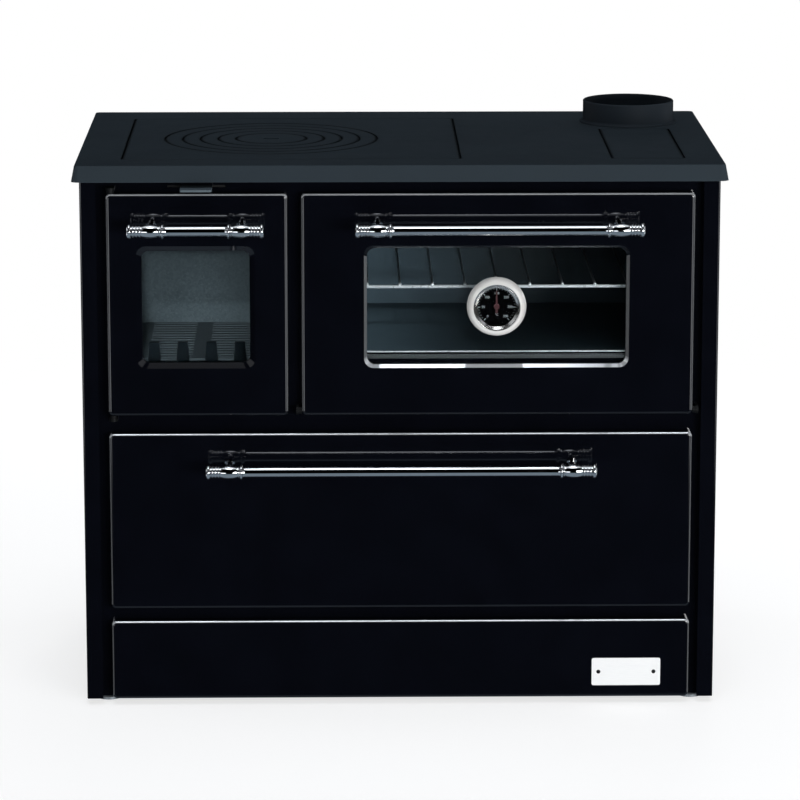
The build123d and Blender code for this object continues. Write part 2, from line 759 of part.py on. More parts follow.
def hearth_plate():
    half = case_inner_half
    plate = block(fire_x - half, fire_x + half, inside_y, fire_end_y + BRICK, hearth_z, hearth_top)
    rebate_z = hearth_top - GRATE_REBATE
    plate -= block(fire_x - grate_half, fire_x + grate_half, grate_y0, grate_y1, rebate_z, hearth_top)
    inner = grate_half - GRATE_LEDGE
    return plate - block(fire_x - inner, fire_x + inner, grate_y0 + GRATE_LEDGE, grate_y1 - GRATE_LEDGE,
                         hearth_z, rebate_z)


def fire_grate():
    """Cast grate with cross slots either side of a middle rib, lying in the hearth's rebate."""
    half = grate_half - GRATE_PLAY
    z0 = hearth_top - GRATE_REBATE
    grate = block(fire_x - half, fire_x + half, grate_y0 + GRATE_PLAY, grate_y1 - GRATE_PLAY, z0, z0 + GRATE_THICK)
    pitch = (grate_y1 - grate_y0) / SLOT_COUNT
    for index in range(SLOT_COUNT):
        y = (grate_y0 + grate_y1) / 2 + (index - (SLOT_COUNT - 1) / 2) * pitch
        for side in (-1, 1):
            slot = Pos(fire_x + side * grate_half / 2, y, z0) * SlotOverall(grate_half - 2 * SLOT_END, SLOT_WIDTH)
            grate -= extrude(slot, GRATE_THICK)
    return grate


def ash_pan():
    """Folded tray with a pull across its front."""
    half = fire_half - ASH_SIDE
    y0 = inside_y + ASH_START
    y1 = fire_end_y + BRICK - ASH_END
    top = hearth_z - ASH_HEAD
    tray = block(fire_x - half, fire_x + half, y0, y1, pit_z, top)
    tray -= block(fire_x - half + ASH_SHEET, fire_x + half - ASH_SHEET, y0 + ASH_SHEET,
                  y1 - ASH_SHEET, pit_z + ASH_SHEET, top)
    pull = block(fire_x - ASH_PULL / 2, fire_x + ASH_PULL / 2, inside_y + ASH_PULL_GAP, y0,
                 top - ASH_SHEET, top)
    return tray + pull


def log_retainer():
    """Cast fence with four tapered teeth that keeps logs off the glass."""
    half = fire_half - RETAINER_PLAY
    y0 = inside_y + RETAINER_START
    bar_top = hearth_top + RETAINER_BAR
    fence = block(fire_x - half, fire_x + half, y0, y0 + RETAINER_THICK, hearth_top, bar_top)
    for index in range(TEETH):
        x = fire_window_x + (index - (TEETH - 1) / 2) * TOOTH_PITCH
        tooth = Polyline((-TOOTH_BASE / 2, 0), (TOOTH_BASE / 2, 0), (TOOTH_TIP / 2, TOOTH_HEIGHT),
                         (-TOOTH_TIP / 2, TOOTH_HEIGHT), close=True)
        outline = make_face(front_plane(x, y0 + RETAINER_THICK, bar_top) * tooth)
        fence += extrude(outline, RETAINER_THICK)
    return fence


# ---------------------------------------------------------------- oven
def oven_liner():
    wall = SHEET
    outer = front_slab(oven_x0 - wall, oven_x1 + wall, oven_z0 - wall, oven_z1 + wall,
                       inside_y, oven_back_y + wall, OVEN_CORNER + wall)
    return outer - front_slab(oven_x0, oven_x1, oven_z0, oven_z1, inside_y, oven_back_y, OVEN_CORNER)


def runner(side, ledge_top):
    """Angle strip on the oven wall that carries the rack."""
    wall_x = oven_x0 if side < 0 else oven_x1
    y0 = inside_y + RUNNER_START
    y1 = oven_back_y - RUNNER_END
    inner = wall_x - side * RUNNER_WIDTH
    web = wall_x - side * SHEET
    ledge = block(min(wall_x, inner), max(wall_x, inner), y0, y1, ledge_top - SHEET, ledge_top)
    upstand = block(min(wall_x, web), max(wall_x, web), y0, y1, ledge_top - RUNNER_LIP, ledge_top)
    return (ledge + upstand).solid()


def oven_runners():
    strips = []
    for index in range(RUNNER_LEVELS):
        level = rack_z - RACK_FRAME_R + (index - (RUNNER_LEVELS - 1) / 2) * runner_spacing
        for side in (-1, 1):
            strips.append(runner(side, level))
    return Compound(children=strips)


def oven_rack():
    """Wire shelf: a frame of thick wire with thinner bars welded on top, each ending in a bead."""
    x0 = oven_x0 + RACK_SIDE
    x1 = oven_x1 - RACK_SIDE
    y0 = inside_y + RACK_START
    y1 = oven_back_y - RACK_END
    rack = across(rack_z, y0, RACK_FRAME_R, x0, x1) + across(rack_z, y1, RACK_FRAME_R, x0, x1)
    for x in (x0, x1):
        rack += lengthwise(x, rack_z, RACK_FRAME_R, y0, y1)
        rack += Pos(x, y0, rack_z) * Sphere(RACK_FRAME_R)
        rack += Pos(x, y1, rack_z) * Sphere(RACK_FRAME_R)
    middle = (oven_x0 + oven_x1) / 2
    count = int((x1 - x0) / 2 / RACK_PITCH)
    wire_z = rack_z + RACK_FRAME_R + RACK_WIRE_R - RACK_WELD
    for index in range(-count, count + 1):
        x = middle + index * RACK_PITCH
        rack += lengthwise(x, wire_z, RACK_WIRE_R, y0, y1)
        rack += Pos(x, y0, wire_z) * Sphere(RACK_BEAD_R)
    return rack


# ---------------------------------------------------------------- drawer
def drawer_front():
    """Panel like the doors, with ribs behind that the box is screwed to."""
    panel = pan(panel_left, panel_right, drawer_bottom, drawer_top)
    for step in (-1, 0, 1):
        x = panel_centre + step * DRAWER_RIB_PITCH
        panel += block(x - DRAWER_RIB / 2, x + DRAWER_RIB / 2, panel_y + PANEL_WALL / 2, panel_back_y,
                       drawer_bottom + PANEL_WALL / 2, drawer_top - PANEL_WALL / 2)
    return panel


def drawer_box():
    box = block(box_left, box_right, panel_back_y, box_back_y, box_bottom, box_top)
    return box - block(box_left + SHEET, box_right - SHEET, panel_back_y + SHEET, box_back_y - SHEET,
                       box_bottom + SHEET, box_top)


def drawer_rails():
    left = block(box_left - RAIL_WIDTH, box_left, inside_y, box_back_y, rail_z, rail_z + RAIL_HEIGHT)
    right = block(box_right, box_right + RAIL_WIDTH, inside_y, box_back_y, rail_z, rail_z + RAIL_HEIGHT)
    return Compound(children=[left.solid(), right.solid()])


def channel(side):
    """Deep channel on the side panel that the drawer's rail runs in."""
    wall = side * body_inner
    edge = box_left - CHANNEL_MOUTH if side < 0 else box_right + CHANNEL_MOUTH
    web = wall - side * SHEET
    low = rail_z - RAIL_CLEARANCE
    high = rail_z + RAIL_HEIGHT + RAIL_CLEARANCE
    y1 = back_y - CHANNEL_BACK
    track = block(min(wall, edge), max(wall, edge), inside_y, y1, low - SHEET, high + SHEET)
    return (track - block(min(web, edge), max(web, edge), inside_y, y1, low, high)).solid()


def drawer_channels():
    return Compound(children=[channel(-1), channel(1)])


# ---------------------------------------------------------------- air slide
def air_slide():
    """Tab that sticks out over the fire door, on a shutter with holes behind the fascia."""
    y0 = inside_y + TAB_CLEARANCE
    half = TAB_WIDTH / 2
    tab = block(fire_x - half, fire_x + half, y_at(-TAB_REACH), y0 + SHEET,
                tab_z - TAB_THICK / 2, tab_z + TAB_THICK / 2)
    tab = fillet(tab.edges().filter_by(Axis.Z).group_by(Axis.Y)[0], TAB_THICK)
    shutter = block(fire_x - SHUTTER_WIDTH / 2, fire_x + SHUTTER_WIDTH / 2, y0, y0 + SHEET,
                    shutter_top - SHUTTER_HEIGHT, shutter_top)
    slide = tab + shutter
    for hole in air_holes(y0, y0 + SHEET):
        slide -= hole
    return slide


# ---------------------------------------------------------------- hinges
def fire_door():
    panel = window_door(fire_left, fire_right, fire_window_x, fire_window_width, FIRE_BEVEL)
    bore = PIN_R + PIN_CLEARANCE
    depth = PIN_DEPTH + LUG_PLAY
    panel -= upright(fire_hinge_x, hinge_y, bore, door_top - depth, door_top)
    return panel - upright(fire_hinge_x, hinge_y, bore, door_bottom, door_bottom + depth)


def oven_door():
    panel = window_door(oven_left, oven_right, oven_window_x, oven_window_width, OVEN_BEVEL)
    bore = PIN_R + PIN_CLEARANCE
    depth = PIN_DEPTH + LUG_PLAY
    panel -= across(oven_hinge_z, hinge_y, bore, oven_left, oven_left + depth)
    return panel - across(oven_hinge_z, hinge_y, bore, oven_right - depth, oven_right)


def pin(reach):
    """Pin along +Z from z = 0 into the door, with a bearing collar under it and a head below the lug."""
    shank = upright(0, 0, PIN_R, -LUG_GAP - LUG_THICK, reach)
    collar = upright(0, 0, PIN_HEAD_R, -LUG_GAP, -LUG_PLAY)
    return (shank + collar).solid()


def lug(tail):
    """Ear with the pin hole at the origin, running back to the fascia."""
    ear = Cylinder(LUG_REACH, LUG_THICK)
    ear += block(-LUG_REACH, LUG_REACH, 0, tail, -LUG_THICK / 2, LUG_THICK / 2)
    ear -= Cylinder(PIN_R + PIN_CLEARANCE, LUG_THICK)
    return ear.solid()


def fire_hinge_lugs():
    shift = LUG_GAP + LUG_THICK / 2
    ears = []
    for z in (door_top + shift, door_bottom - shift):
        ears.append(Pos(fire_hinge_x, hinge_y, z) * lug(HINGE_STANDOFF))
    return Compound(children=ears)


def fire_hinge_pins():
    upper = Pos(fire_hinge_x, hinge_y, door_top) * Rot(180, 0, 0) * pin(PIN_DEPTH)
    lower = Pos(fire_hinge_x, hinge_y, door_bottom) * pin(PIN_DEPTH)
    return Compound(children=[upper, lower])


def oven_hinge_lugs():
    shift = LUG_GAP + LUG_THICK / 2
    ears = []
    for x in (oven_left - shift, oven_right + shift):
        ears.append(Pos(x, hinge_y, oven_hinge_z) * Rot(0, 90, 0) * lug(HINGE_STANDOFF))
    return Compound(children=ears)


def oven_hinge_pins():
    left = Pos(oven_left, hinge_y, oven_hinge_z) * Rot(0, 90, 0) * pin(PIN_DEPTH)
    right = Pos(oven_right, hinge_y, oven_hinge_z) * Rot(0, -90, 0) * pin(PIN_DEPTH)
    return Compound(children=[left, right])


# ---------------------------------------------------------------- thermometer
def spun(points):
    """Turned about the thermometer's axis: points are radius and distance in front of the glass."""
    outline = Polyline(*[(radius, -front) for radius, front in points], close=True)
    return Pos(oven_window_x, glass_y, window_middle) * revolve(make_face(outline), Axis.Y)


def thermometer_case():
    inner = DIAL_R + DIAL_PLAY
    lens_front = BEZEL_DEPTH - LENS_SETBACK
    lip = DIAL_R - LENS_LIP
    hole = STEM_R + STEM_CLEARANCE
    shoulder = (BEZEL_SKIRT + BEZEL_DEPTH) / 2
    groove = BEZEL_DEPTH - BEZEL_GROOVE_DEPTH
    return spun([(hole, 0), (BEZEL_R, 0), (BEZEL_R, BEZEL_SKIRT), (BEZEL_R - BEZEL_SHOULDER, shoulder),
                 (BEZEL_R - BEZEL_CROWN, BEZEL_DEPTH - BEZEL_SHOULDER), (BEZEL_STEP_R + BEZEL_LAND, BEZEL_DEPTH),
                 (BEZEL_STEP_R, BEZEL_DEPTH - LENS_BEVEL), (BEZEL_STEP_R, groove),
                 (BEZEL_STEP_R - BEZEL_GROOVE, groove), (BEZEL_STEP_R - BEZEL_GROOVE, BEZEL_DEPTH - LENS_BEVEL),
                 (lip, lens_front + LENS_BEVEL), (lip, lens_front), (inner, lens_front), (inner, SHEET),
                 (hole, SHEET)])


def thermometer_lens():
    front = glass_y - BEZEL_DEPTH + LENS_SETBACK
    return front_disc(oven_window_x, window_middle, DIAL_R, front, front + LENS_THICK)


def thermometer_dial():
    y1 = glass_y - SHEET
    disc = front_disc(oven_window_x, window_middle, DIAL_R, y1 - DIAL_THICK, y1)
    return disc - front_disc(oven_window_x, window_middle, SPINDLE_R + SPINDLE_CLEARANCE, y1 - DIAL_THICK, y1)


def thermometer_stem():
    end = y_at(STEM_END)
    rod = front_disc(oven_window_x, window_middle, STEM_R, glass_y + STEM_CLEARANCE, end)
    nut = extrude(front_plane(oven_window_x, liner_y + STEM_NUT_THICK, window_middle)
                  * RegularPolygon(STEM_NUT_R, 6), STEM_NUT_THICK)
    return rod + nut


def thermometer_needle():
    """Pointer with a round hub on a short spindle."""
    y1 = glass_y - SHEET - DIAL_THICK - NEEDLE_LIFT
    blade = Polyline((-NEEDLE_WIDTH / 2, -NEEDLE_TAIL), (NEEDLE_WIDTH / 2, -NEEDLE_TAIL),
                     (NEEDLE_WIDTH / 4, NEEDLE_TIP), (-NEEDLE_WIDTH / 4, NEEDLE_TIP), close=True)
    needle = extrude(make_face(front_plane(oven_window_x, y1, window_middle) * blade), NEEDLE_THICK)
    needle += front_disc(oven_window_x, window_middle, HUB_R, y1 - NEEDLE_THICK - HUB_RISE, y1)
    return needle + front_disc(oven_window_x, window_middle, SPINDLE_R, y1, glass_y - SHEET)


def oven_glass():
    glass = door_glass(oven_window_x, oven_window_width)
    return glass - front_disc(oven_window_x, window_middle, GLASS_HOLE_R, glass_y, liner_y)


# ---------------------------------------------------------------- every piece by name
pieces = {
    "base_frame": base_frame(),
    "levelling_feet": levelling_feet(),
    "left_side_panel": side_panel(-1),
    "right_side_panel": side_panel(1),
    "back_panel": back_panel(),
    "front_fascia": front_fascia(),
    "plinth_panel": plinth_panel(),
    "compartment_floor": flat_shelf(floor_z),
    "middle_shelf": flat_shelf(shelf_z),
    "cooktop_frame": cooktop_frame(),
    "hot_plate": hot_plate(),
    "cleanout_cover": loose_plate(COVER),
    "flue_collar": flue_collar(),
    "firebox_case": firebox_case(),
    "firebrick_left": side_bricks(-1),
    "firebrick_right": side_bricks(1),
    "firebrick_back": back_brick(),
    "hearth_plate": hearth_plate(),
    "fire_grate": fire_grate(),
    "ash_pan": ash_pan(),
    "log_retainer": log_retainer(),
    "oven_liner": oven_liner(),
    "oven_rack": oven_rack(),
    "oven_runners": oven_runners(),
    "drawer_channels": drawer_channels(),
    "fire_hinge_lugs": fire_hinge_lugs(),
    "fire_hinge_pins": fire_hinge_pins(),
    "oven_hinge_lugs": oven_hinge_lugs(),
    "oven_hinge_pins": oven_hinge_pins(),
    "air_slide": air_slide(),
    "ring_centre_plate": centre_plate(),
    "fire_door_panel": fire_door(),
    "fire_door_liner": door_liner(fire_left, fire_right, fire_window_x, fire_window_width, FIRE_BEVEL),
    "fire_door_glass": door_glass(fire_window_x, fire_window_width),
    "fire_door_gasket": door_gasket(fire_x - fire_half, fire_x + fire_half, pit_z,
                                    fire_opening_top, OPENING_CORNER),
    "fire_handle_bar": handle_bar(fire_x, FIRE_HANDLE_LENGTH, door_handle_z),
    "fire_handle_ends": handle_ends(fire_x, FIRE_HANDLE_LENGTH, door_handle_z),
    "oven_door_panel": oven_door(),
    "oven_door_liner": door_liner(oven_left, oven_right, oven_window_x, oven_window_width, OVEN_BEVEL),
    "oven_door_glass": oven_glass(),
    "oven_door_gasket": door_gasket(oven_x0, oven_x1, oven_z0, oven_z1, OVEN_CORNER),
    "oven_handle_bar": handle_bar(oven_x, OVEN_HANDLE_LENGTH, door_handle_z),
    "oven_handle_ends": handle_ends(oven_x, OVEN_HANDLE_LENGTH, door_handle_z),
    "thermometer_case": thermometer_case(),
    "thermometer_dial": thermometer_dial(),
    "thermometer_lens": thermometer_lens(),
    "thermometer_stem": thermometer_stem(),
    "thermometer_needle": thermometer_needle(),
    "drawer_front": drawer_front(),
    "drawer_box": drawer_box(),
    "drawer_rails": drawer_rails(),
    "drawer_handle_bar": handle_bar(panel_centre, DRAWER_HANDLE_LENGTH, drawer_handle_z),
    "drawer_handle_ends": handle_ends(panel_centre, DRAWER_HANDLE_LENGTH, drawer_handle_z),
}

for index in range(RING_COUNT):
    inner_r = CENTRE_PLATE_R + index * RING_STEP
    pieces["ring_%d" % (index + 1)] = cooking_ring(inner_r + RING_STEP, inner_r)

for name, piece in pieces.items():
    export_step(piece, "parts/%s.step" % name)
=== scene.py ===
import json
import math

import bmesh
import bpy
from mathutils import Matrix, Vector


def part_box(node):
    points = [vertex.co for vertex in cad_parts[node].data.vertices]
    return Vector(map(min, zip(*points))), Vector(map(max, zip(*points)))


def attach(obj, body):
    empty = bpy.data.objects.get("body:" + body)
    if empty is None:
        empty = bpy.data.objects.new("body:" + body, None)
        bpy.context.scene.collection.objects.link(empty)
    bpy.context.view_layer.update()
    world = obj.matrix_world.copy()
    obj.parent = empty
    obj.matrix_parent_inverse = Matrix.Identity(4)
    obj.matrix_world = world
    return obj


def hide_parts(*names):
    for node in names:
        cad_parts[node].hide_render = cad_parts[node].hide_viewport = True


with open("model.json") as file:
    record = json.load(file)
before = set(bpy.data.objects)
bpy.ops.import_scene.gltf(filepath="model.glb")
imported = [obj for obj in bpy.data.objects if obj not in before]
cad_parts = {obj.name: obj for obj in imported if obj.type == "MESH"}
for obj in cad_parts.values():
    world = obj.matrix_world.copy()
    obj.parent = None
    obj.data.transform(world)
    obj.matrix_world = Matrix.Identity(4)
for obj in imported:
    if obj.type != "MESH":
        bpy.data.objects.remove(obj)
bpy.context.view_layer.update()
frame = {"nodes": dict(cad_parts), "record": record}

# Wood cookstove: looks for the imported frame. Metres, +X right, +Y back, +Z up.
MM = 0.001
QUARTER_TURN = math.radians(90)
UPRIGHT = Matrix.Rotation(QUARTER_TURN, 4, "X")  # stands a flat shape up, facing the front
WHITE = (1, 1, 1, 1)

# The sRGB curve: a straight foot up to its knee, then a power.
SRGB_KNEE, SRGB_FOOT, SRGB_LIFT, SRGB_POWER = 0.04045, 12.92, 0.055, 2.4

# A Mix node has sockets for every kind of value. These are its share, two colours and the mix.
SHARE, FIRST, SECOND, MIXED = 0, 6, 7, 2
WAVE_TURN = 20.0  # radians that a Wave texture turns through in one unit


# ---------------------------------------------------------------- colour and node helpers
def linear(hex_colour):
    """sRGB hex such as "20272c" as linear RGBA."""
    parts = [int(hex_colour[at:at + 2], 16) / 255 for at in (0, 2, 4)]
    return [part / SRGB_FOOT if part <= SRGB_KNEE
            else ((part + SRGB_LIFT) / (1 + SRGB_LIFT)) ** SRGB_POWER for part in parts] + [1.0]


def add(tree, kind, sockets=None, **settings):
    """Adds a node; settings are its own properties, sockets hold values or what is linked in."""
    made = tree.nodes.new("ShaderNode" + kind)
    for name, value in settings.items():
        setattr(made, name, value)
    for name, value in (sockets or {}).items():
        if isinstance(value, bpy.types.NodeSocket):
            tree.links.new(value, made.inputs[name])
        else:
            made.inputs[name].default_value = value
    return made


def start_finish(name):
    """New material, its emptied node tree, and the place on the piece that its patterns read."""
    material = bpy.data.materials.new(name)
    material.use_nodes = True
    tree = material.node_tree
    tree.nodes.clear()
    return material, tree, add(tree, "TexCoord").outputs["Object"]


def finished(material, sockets):
    """Joins a Principled shader with these sockets to the output, and returns the material."""
    shader = add(material.node_tree, "BsdfPrincipled", sockets)
    add(material.node_tree, "OutputMaterial", {"Surface": shader.outputs["BSDF"]})
    return material


def per_metre(size_mm):
    """Noise or cell scale whose features are about size_mm across, on coordinates in metres."""
    return 1000.0 / size_mm


def waves_per_metre(size_mm):
    """Wave scale whose crests lie size_mm apart, on coordinates in metres."""
    return 2 * math.pi / (WAVE_TURN * size_mm * MM)


# ---------------------------------------------------------------- where a finish wears or darkens
UNWORN, WORN_BARE = 0.995, 0.84  # cosine between a face and its rounded normal
BEVEL_RAYS = 4

FLAT_NORMAL, ROLLED_NORMAL = 0.95, 0.80  # largest part of the normal, on the flats, on the roll
NO_HIGHLIGHT_UP, FULL_HIGHLIGHT_UP = -0.06, 0.3  # upward part of the normal: no painted rim highlight below, full along the top
INSIDE_RIM, ON_RIM = 14 * MM, 10 * MM  # distance from the panel's outline

# Distances at which the dark band of soot and painted shade ends and at which it is full: from a
# ring's joint, from a plate's joint, outside the last ring's joint, and inside the centre plate's.
RING_SOOT_AND_SHADE = (4.5 * MM, 1.5 * MM)
PLATE_SOOT_AND_SHADE = (4 * MM, 1.5 * MM)
OUTER_SOOT_AND_SHADE = (5 * MM, 3 * MM)
INNER_SOOT_AND_SHADE = (7 * MM, 5 * MM)
CROSS_JOINTS = 3.0  # soot and painted shade beside joints that run from left to right is narrower by this factor


def worn_edges(tree, radius_mm, most):
    """0 on flat faces, rising to most along edges sharper than about radius_mm."""
    rounded = add(tree, "Bevel", {"Radius": radius_mm * MM}, samples=BEVEL_RAYS)
    face = add(tree, "NewGeometry")
    turn = add(tree, "VectorMath", {0: rounded.outputs["Normal"], 1: face.outputs["Normal"]},
               operation="DOT_PRODUCT")
    rubbed = add(tree, "MapRange", {"Value": turn.outputs["Value"], "From Min": UNWORN,
                                    "From Max": WORN_BARE, "To Max": most})
    return rubbed.outputs[0]


def from_outline(tree, place, node, axes, stretch=1.0):
    """How far a place lies from the outline of a node's box, seen along the third axis. Distances
    along the second axis count stretch times."""
    low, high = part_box(node)
    spot = add(tree, "SeparateXYZ", {"Vector": place})
    past = []
    for axis, counts in zip(axes, (1.0, stretch)):
        lowest, highest = getattr(low, axis.lower()), getattr(high, axis.lower())
        middle, half = (lowest + highest) / 2, (highest - lowest) / 2
        off = add(tree, "Math", {0: spot.outputs[axis], 1: middle}, operation="SUBTRACT")
        away = add(tree, "Math", {0: off.outputs[0]}, operation="ABSOLUTE")
        over = add(tree, "Math", {0: away.outputs[0], 1: half}, operation="SUBTRACT")
        counted = add(tree, "Math", {0: over.outputs[0], 1: counts}, operation="MULTIPLY")
        past.append(counted.outputs[0])
    most = add(tree, "Math", {0: past[0], 1: past[1]}, operation="MAXIMUM")
    return add(tree, "Math", {0: most.outputs[0]}, operation="ABSOLUTE").outputs[0]


def painted_rim_highlight(tree, place, node):
    """1 on the rolled rim of a pressed panel, 0 on its flat: a painted highlight, as if the rim
    caught the light. It is painted as lit from above: full on top, weaker down the sides and none
    below."""
    facing = add(tree, "SeparateXYZ", {"Vector": add(tree, "TexCoord").outputs["Normal"]})
    sizes = [add(tree, "Math", {0: facing.outputs[axis]}, operation="ABSOLUTE").outputs[0]
             for axis in "XYZ"]
    wide = add(tree, "Math", {0: sizes[0], 1: sizes[1]}, operation="MAXIMUM")
    most = add(tree, "Math", {0: wide.outputs[0], 1: sizes[2]}, operation="MAXIMUM")
    rolled = add(tree, "MapRange", {"Value": most.outputs[0], "From Min": FLAT_NORMAL,
                                    "From Max": ROLLED_NORMAL})
    lit_from_above = add(tree, "MapRange", {"Value": facing.outputs["Z"], "From Min": NO_HIGHLIGHT_UP,
                                     "From Max": FULL_HIGHLIGHT_UP})
    lit_rim = add(tree, "Math", {0: rolled.outputs[0], 1: lit_from_above.outputs[0]}, operation="MULTIPLY")
    if node == "oven_door_panel":  # its window's bevel takes the same painted highlight as its rim
        return lit_rim.outputs[0]
    border = add(tree, "MapRange", {"Value": from_outline(tree, place, node, "XZ"),
                                    "From Min": INSIDE_RIM, "From Max": ON_RIM})
    outer = add(tree, "Math", {0: lit_rim.outputs[0], 1: border.outputs[0]}, operation="MULTIPLY")
    return outer.outputs[0]


def half_width(node):
    """Half of a node's size along X: the radius of a round one."""
    low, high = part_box(node)
    return (high.x - low.x) / 2


def soot_and_shade_at_joints(tree, place):
    """1 beside every joint of the cooktop, round its rings, hot plate and cover, where soot and
    painted shade darken the iron, and 0 a few millimetres off."""
    low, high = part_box("ring_centre_plate")
    centre = (low + high) / 2
    first, second, last = (half_width(node) for node in ("ring_centre_plate", "ring_1", "ring_4"))
    spot = add(tree, "VectorMath", {0: place, 1: (centre.x, centre.y, 0)}, operation="SUBTRACT")
    flat = add(tree, "VectorMath", {0: spot.outputs[0], 1: (1, 1, 0)}, operation="MULTIPLY")
    radius = add(tree, "VectorMath", {0: flat.outputs[0]}, operation="LENGTH").outputs["Value"]
    past = add(tree, "Math", {0: radius, 1: first}, operation="SUBTRACT")
    near = add(tree, "Math", {0: past.outputs[0], 1: (second - first) / 2}, operation="PINGPONG")
    darkened = 1.0
    for value, ends, full in ((near.outputs[0], *RING_SOOT_AND_SHADE),
                              (radius, last + OUTER_SOOT_AND_SHADE[0], last + OUTER_SOOT_AND_SHADE[1]),
                              (radius, first - INNER_SOOT_AND_SHADE[0], first - INNER_SOOT_AND_SHADE[1])):
        inside = add(tree, "MapRange", {"Value": value, "From Min": ends, "From Max": full})
        darkened = add(tree, "Math", {0: inside.outputs[0], 1: darkened}, operation="MULTIPLY").outputs[0]
    for node in ("hot_plate", "cleanout_cover"):
        off = from_outline(tree, place, node, "XY", CROSS_JOINTS)
        edge = add(tree, "MapRange", {"Value": off, "From Min": PLATE_SOOT_AND_SHADE[0],
                                      "From Max": PLATE_SOOT_AND_SHADE[1]})
        darkened = add(tree, "Math", {0: darkened, 1: edge.outputs[0]}, operation="MAXIMUM").outputs[0]
    return darkened


# ---------------------------------------------------------------- finishes
RIM_HIGHLIGHT_METAL = 0.45  # how metallic the painted rim highlight is at its fullest
SOOT_AND_SHADE_COVER = 0.8  # how much of the iron the soot and painted shade hide beside a joint
FLECK_PICK = 0.62  # an enamel cell has its fleck where its grey is above this


def black_enamel(name, node=None):
    # Vitreous enamel fired on sheet steel: deep blue-black glass with a faint orange peel and a few
    # fired-in dust specks. On a pressed panel, a pale metallic highlight is painted along the
    # rolled rim.
    material, tree, place = start_finish(name)
    cloud = add(tree, "TexNoise", {"Vector": place, "Scale": per_metre(60), "Detail": 3.0})
    peel = add(tree, "TexNoise", {"Vector": place, "Scale": per_metre(9), "Detail": 1.0})
    dust = add(tree, "TexNoise", {"Vector": place, "Scale": per_metre(2.5), "Detail": 2.0})
    tone = add(tree, "Mix", {SHARE: cloud.outputs["Fac"], FIRST: linear("05060a"),
                             SECOND: linear("090b12")}, data_type="RGBA")
    haze = add(tree, "MapRange", {"Value": cloud.outputs["Fac"], "From Min": 0.35, "From Max": 0.7,
                                  "To Min": 0.04, "To Max": 0.06})
    speck = add(tree, "MapRange", {"Value": dust.outputs["Fac"], "From Min": 0.70, "From Max": 0.82,
                                   "To Max": 0.06})
    rough = add(tree, "Math", {0: haze.outputs[0], 1: speck.outputs[0]}, operation="ADD")
    bump = add(tree, "Bump", {"Height": peel.outputs["Fac"], "Strength": 0.15,
                              "Distance": 0.04 * MM})
    sockets = {"Base Color": tone.outputs[MIXED], "Roughness": rough.outputs[0], "IOR": 1.54,
               "Normal": bump.outputs["Normal"]}
    if node:
        # Painted highlight: the rolled rim is coloured pale steel and made partly metallic, fullest
        # on top.
        lit_rim = painted_rim_highlight(tree, place, node)
        shown = add(tree, "Mix", {SHARE: lit_rim, FIRST: tone.outputs[MIXED],
                                  SECOND: linear("d4d8dc")}, data_type="RGBA")
        metal = add(tree, "Math", {0: lit_rim, 1: RIM_HIGHLIGHT_METAL}, operation="MULTIPLY")
        sockets["Base Color"] = shown.outputs[MIXED]
        sockets["Metallic"] = metal.outputs[0]
    return finished(material, sockets)


def sand_cast_iron(name, dark, light, rubbed, jointed=False):
    # Sand-cast grey iron, stove-blacked, primed, or near black as painted shade, by its colours:
    # matt, with an open grain, small casting pits, and another tone where edges are rubbed. On a
    # jointed top, a dark band of soot and painted shade runs beside every joint.
    material, tree, place = start_finish(name)
    grain = add(tree, "TexNoise", {"Vector": place, "Scale": per_metre(1.6), "Detail": 5.0,
                                   "Roughness": 0.62})
    pits = add(tree, "TexVoronoi", {"Vector": place, "Scale": per_metre(3.2)})
    cloud = add(tree, "TexNoise", {"Vector": place, "Scale": per_metre(90), "Detail": 4.0})
    wear = worn_edges(tree, 1.4, 0.55)
    sand = add(tree, "Math", {0: cloud.outputs["Fac"], 1: grain.outputs["Fac"], 2: 0.12},
               operation="MULTIPLY_ADD")
    tone = add(tree, "Mix", {SHARE: sand.outputs[0], FIRST: linear(dark), SECOND: linear(light)},
               data_type="RGBA")
    worn = add(tree, "Mix", {SHARE: wear, FIRST: tone.outputs[MIXED], SECOND: linear(rubbed)},
               data_type="RGBA")
    if jointed:
        # Soot and painted shade: a near-black band beside every joint of the top.
        soot_and_shade = add(tree, "Math", {0: soot_and_shade_at_joints(tree, place), 1: SOOT_AND_SHADE_COVER},
                   operation="MULTIPLY")
        worn = add(tree, "Mix", {SHARE: soot_and_shade.outputs[0], FIRST: worn.outputs[MIXED],
                                 SECOND: linear("06080a")}, data_type="RGBA")
    rough = add(tree, "MapRange", {"Value": cloud.outputs["Fac"], "From Min": 0.3, "From Max": 0.7,
                                   "To Min": 0.6, "To Max": 0.74})
    low = add(tree, "Bump", {"Height": pits.outputs["Distance"], "Strength": 0.12,
                             "Distance": 0.1 * MM})
    bump = add(tree, "Bump", {"Height": grain.outputs["Fac"], "Strength": 0.4,
                              "Distance": 0.15 * MM, "Normal": low.outputs["Normal"]})
    return finished(material, {"Base Color": worn.outputs[MIXED], "Roughness": rough.outputs[0],
                               "Normal": bump.outputs["Normal"], "Specular IOR Level": 0.1})


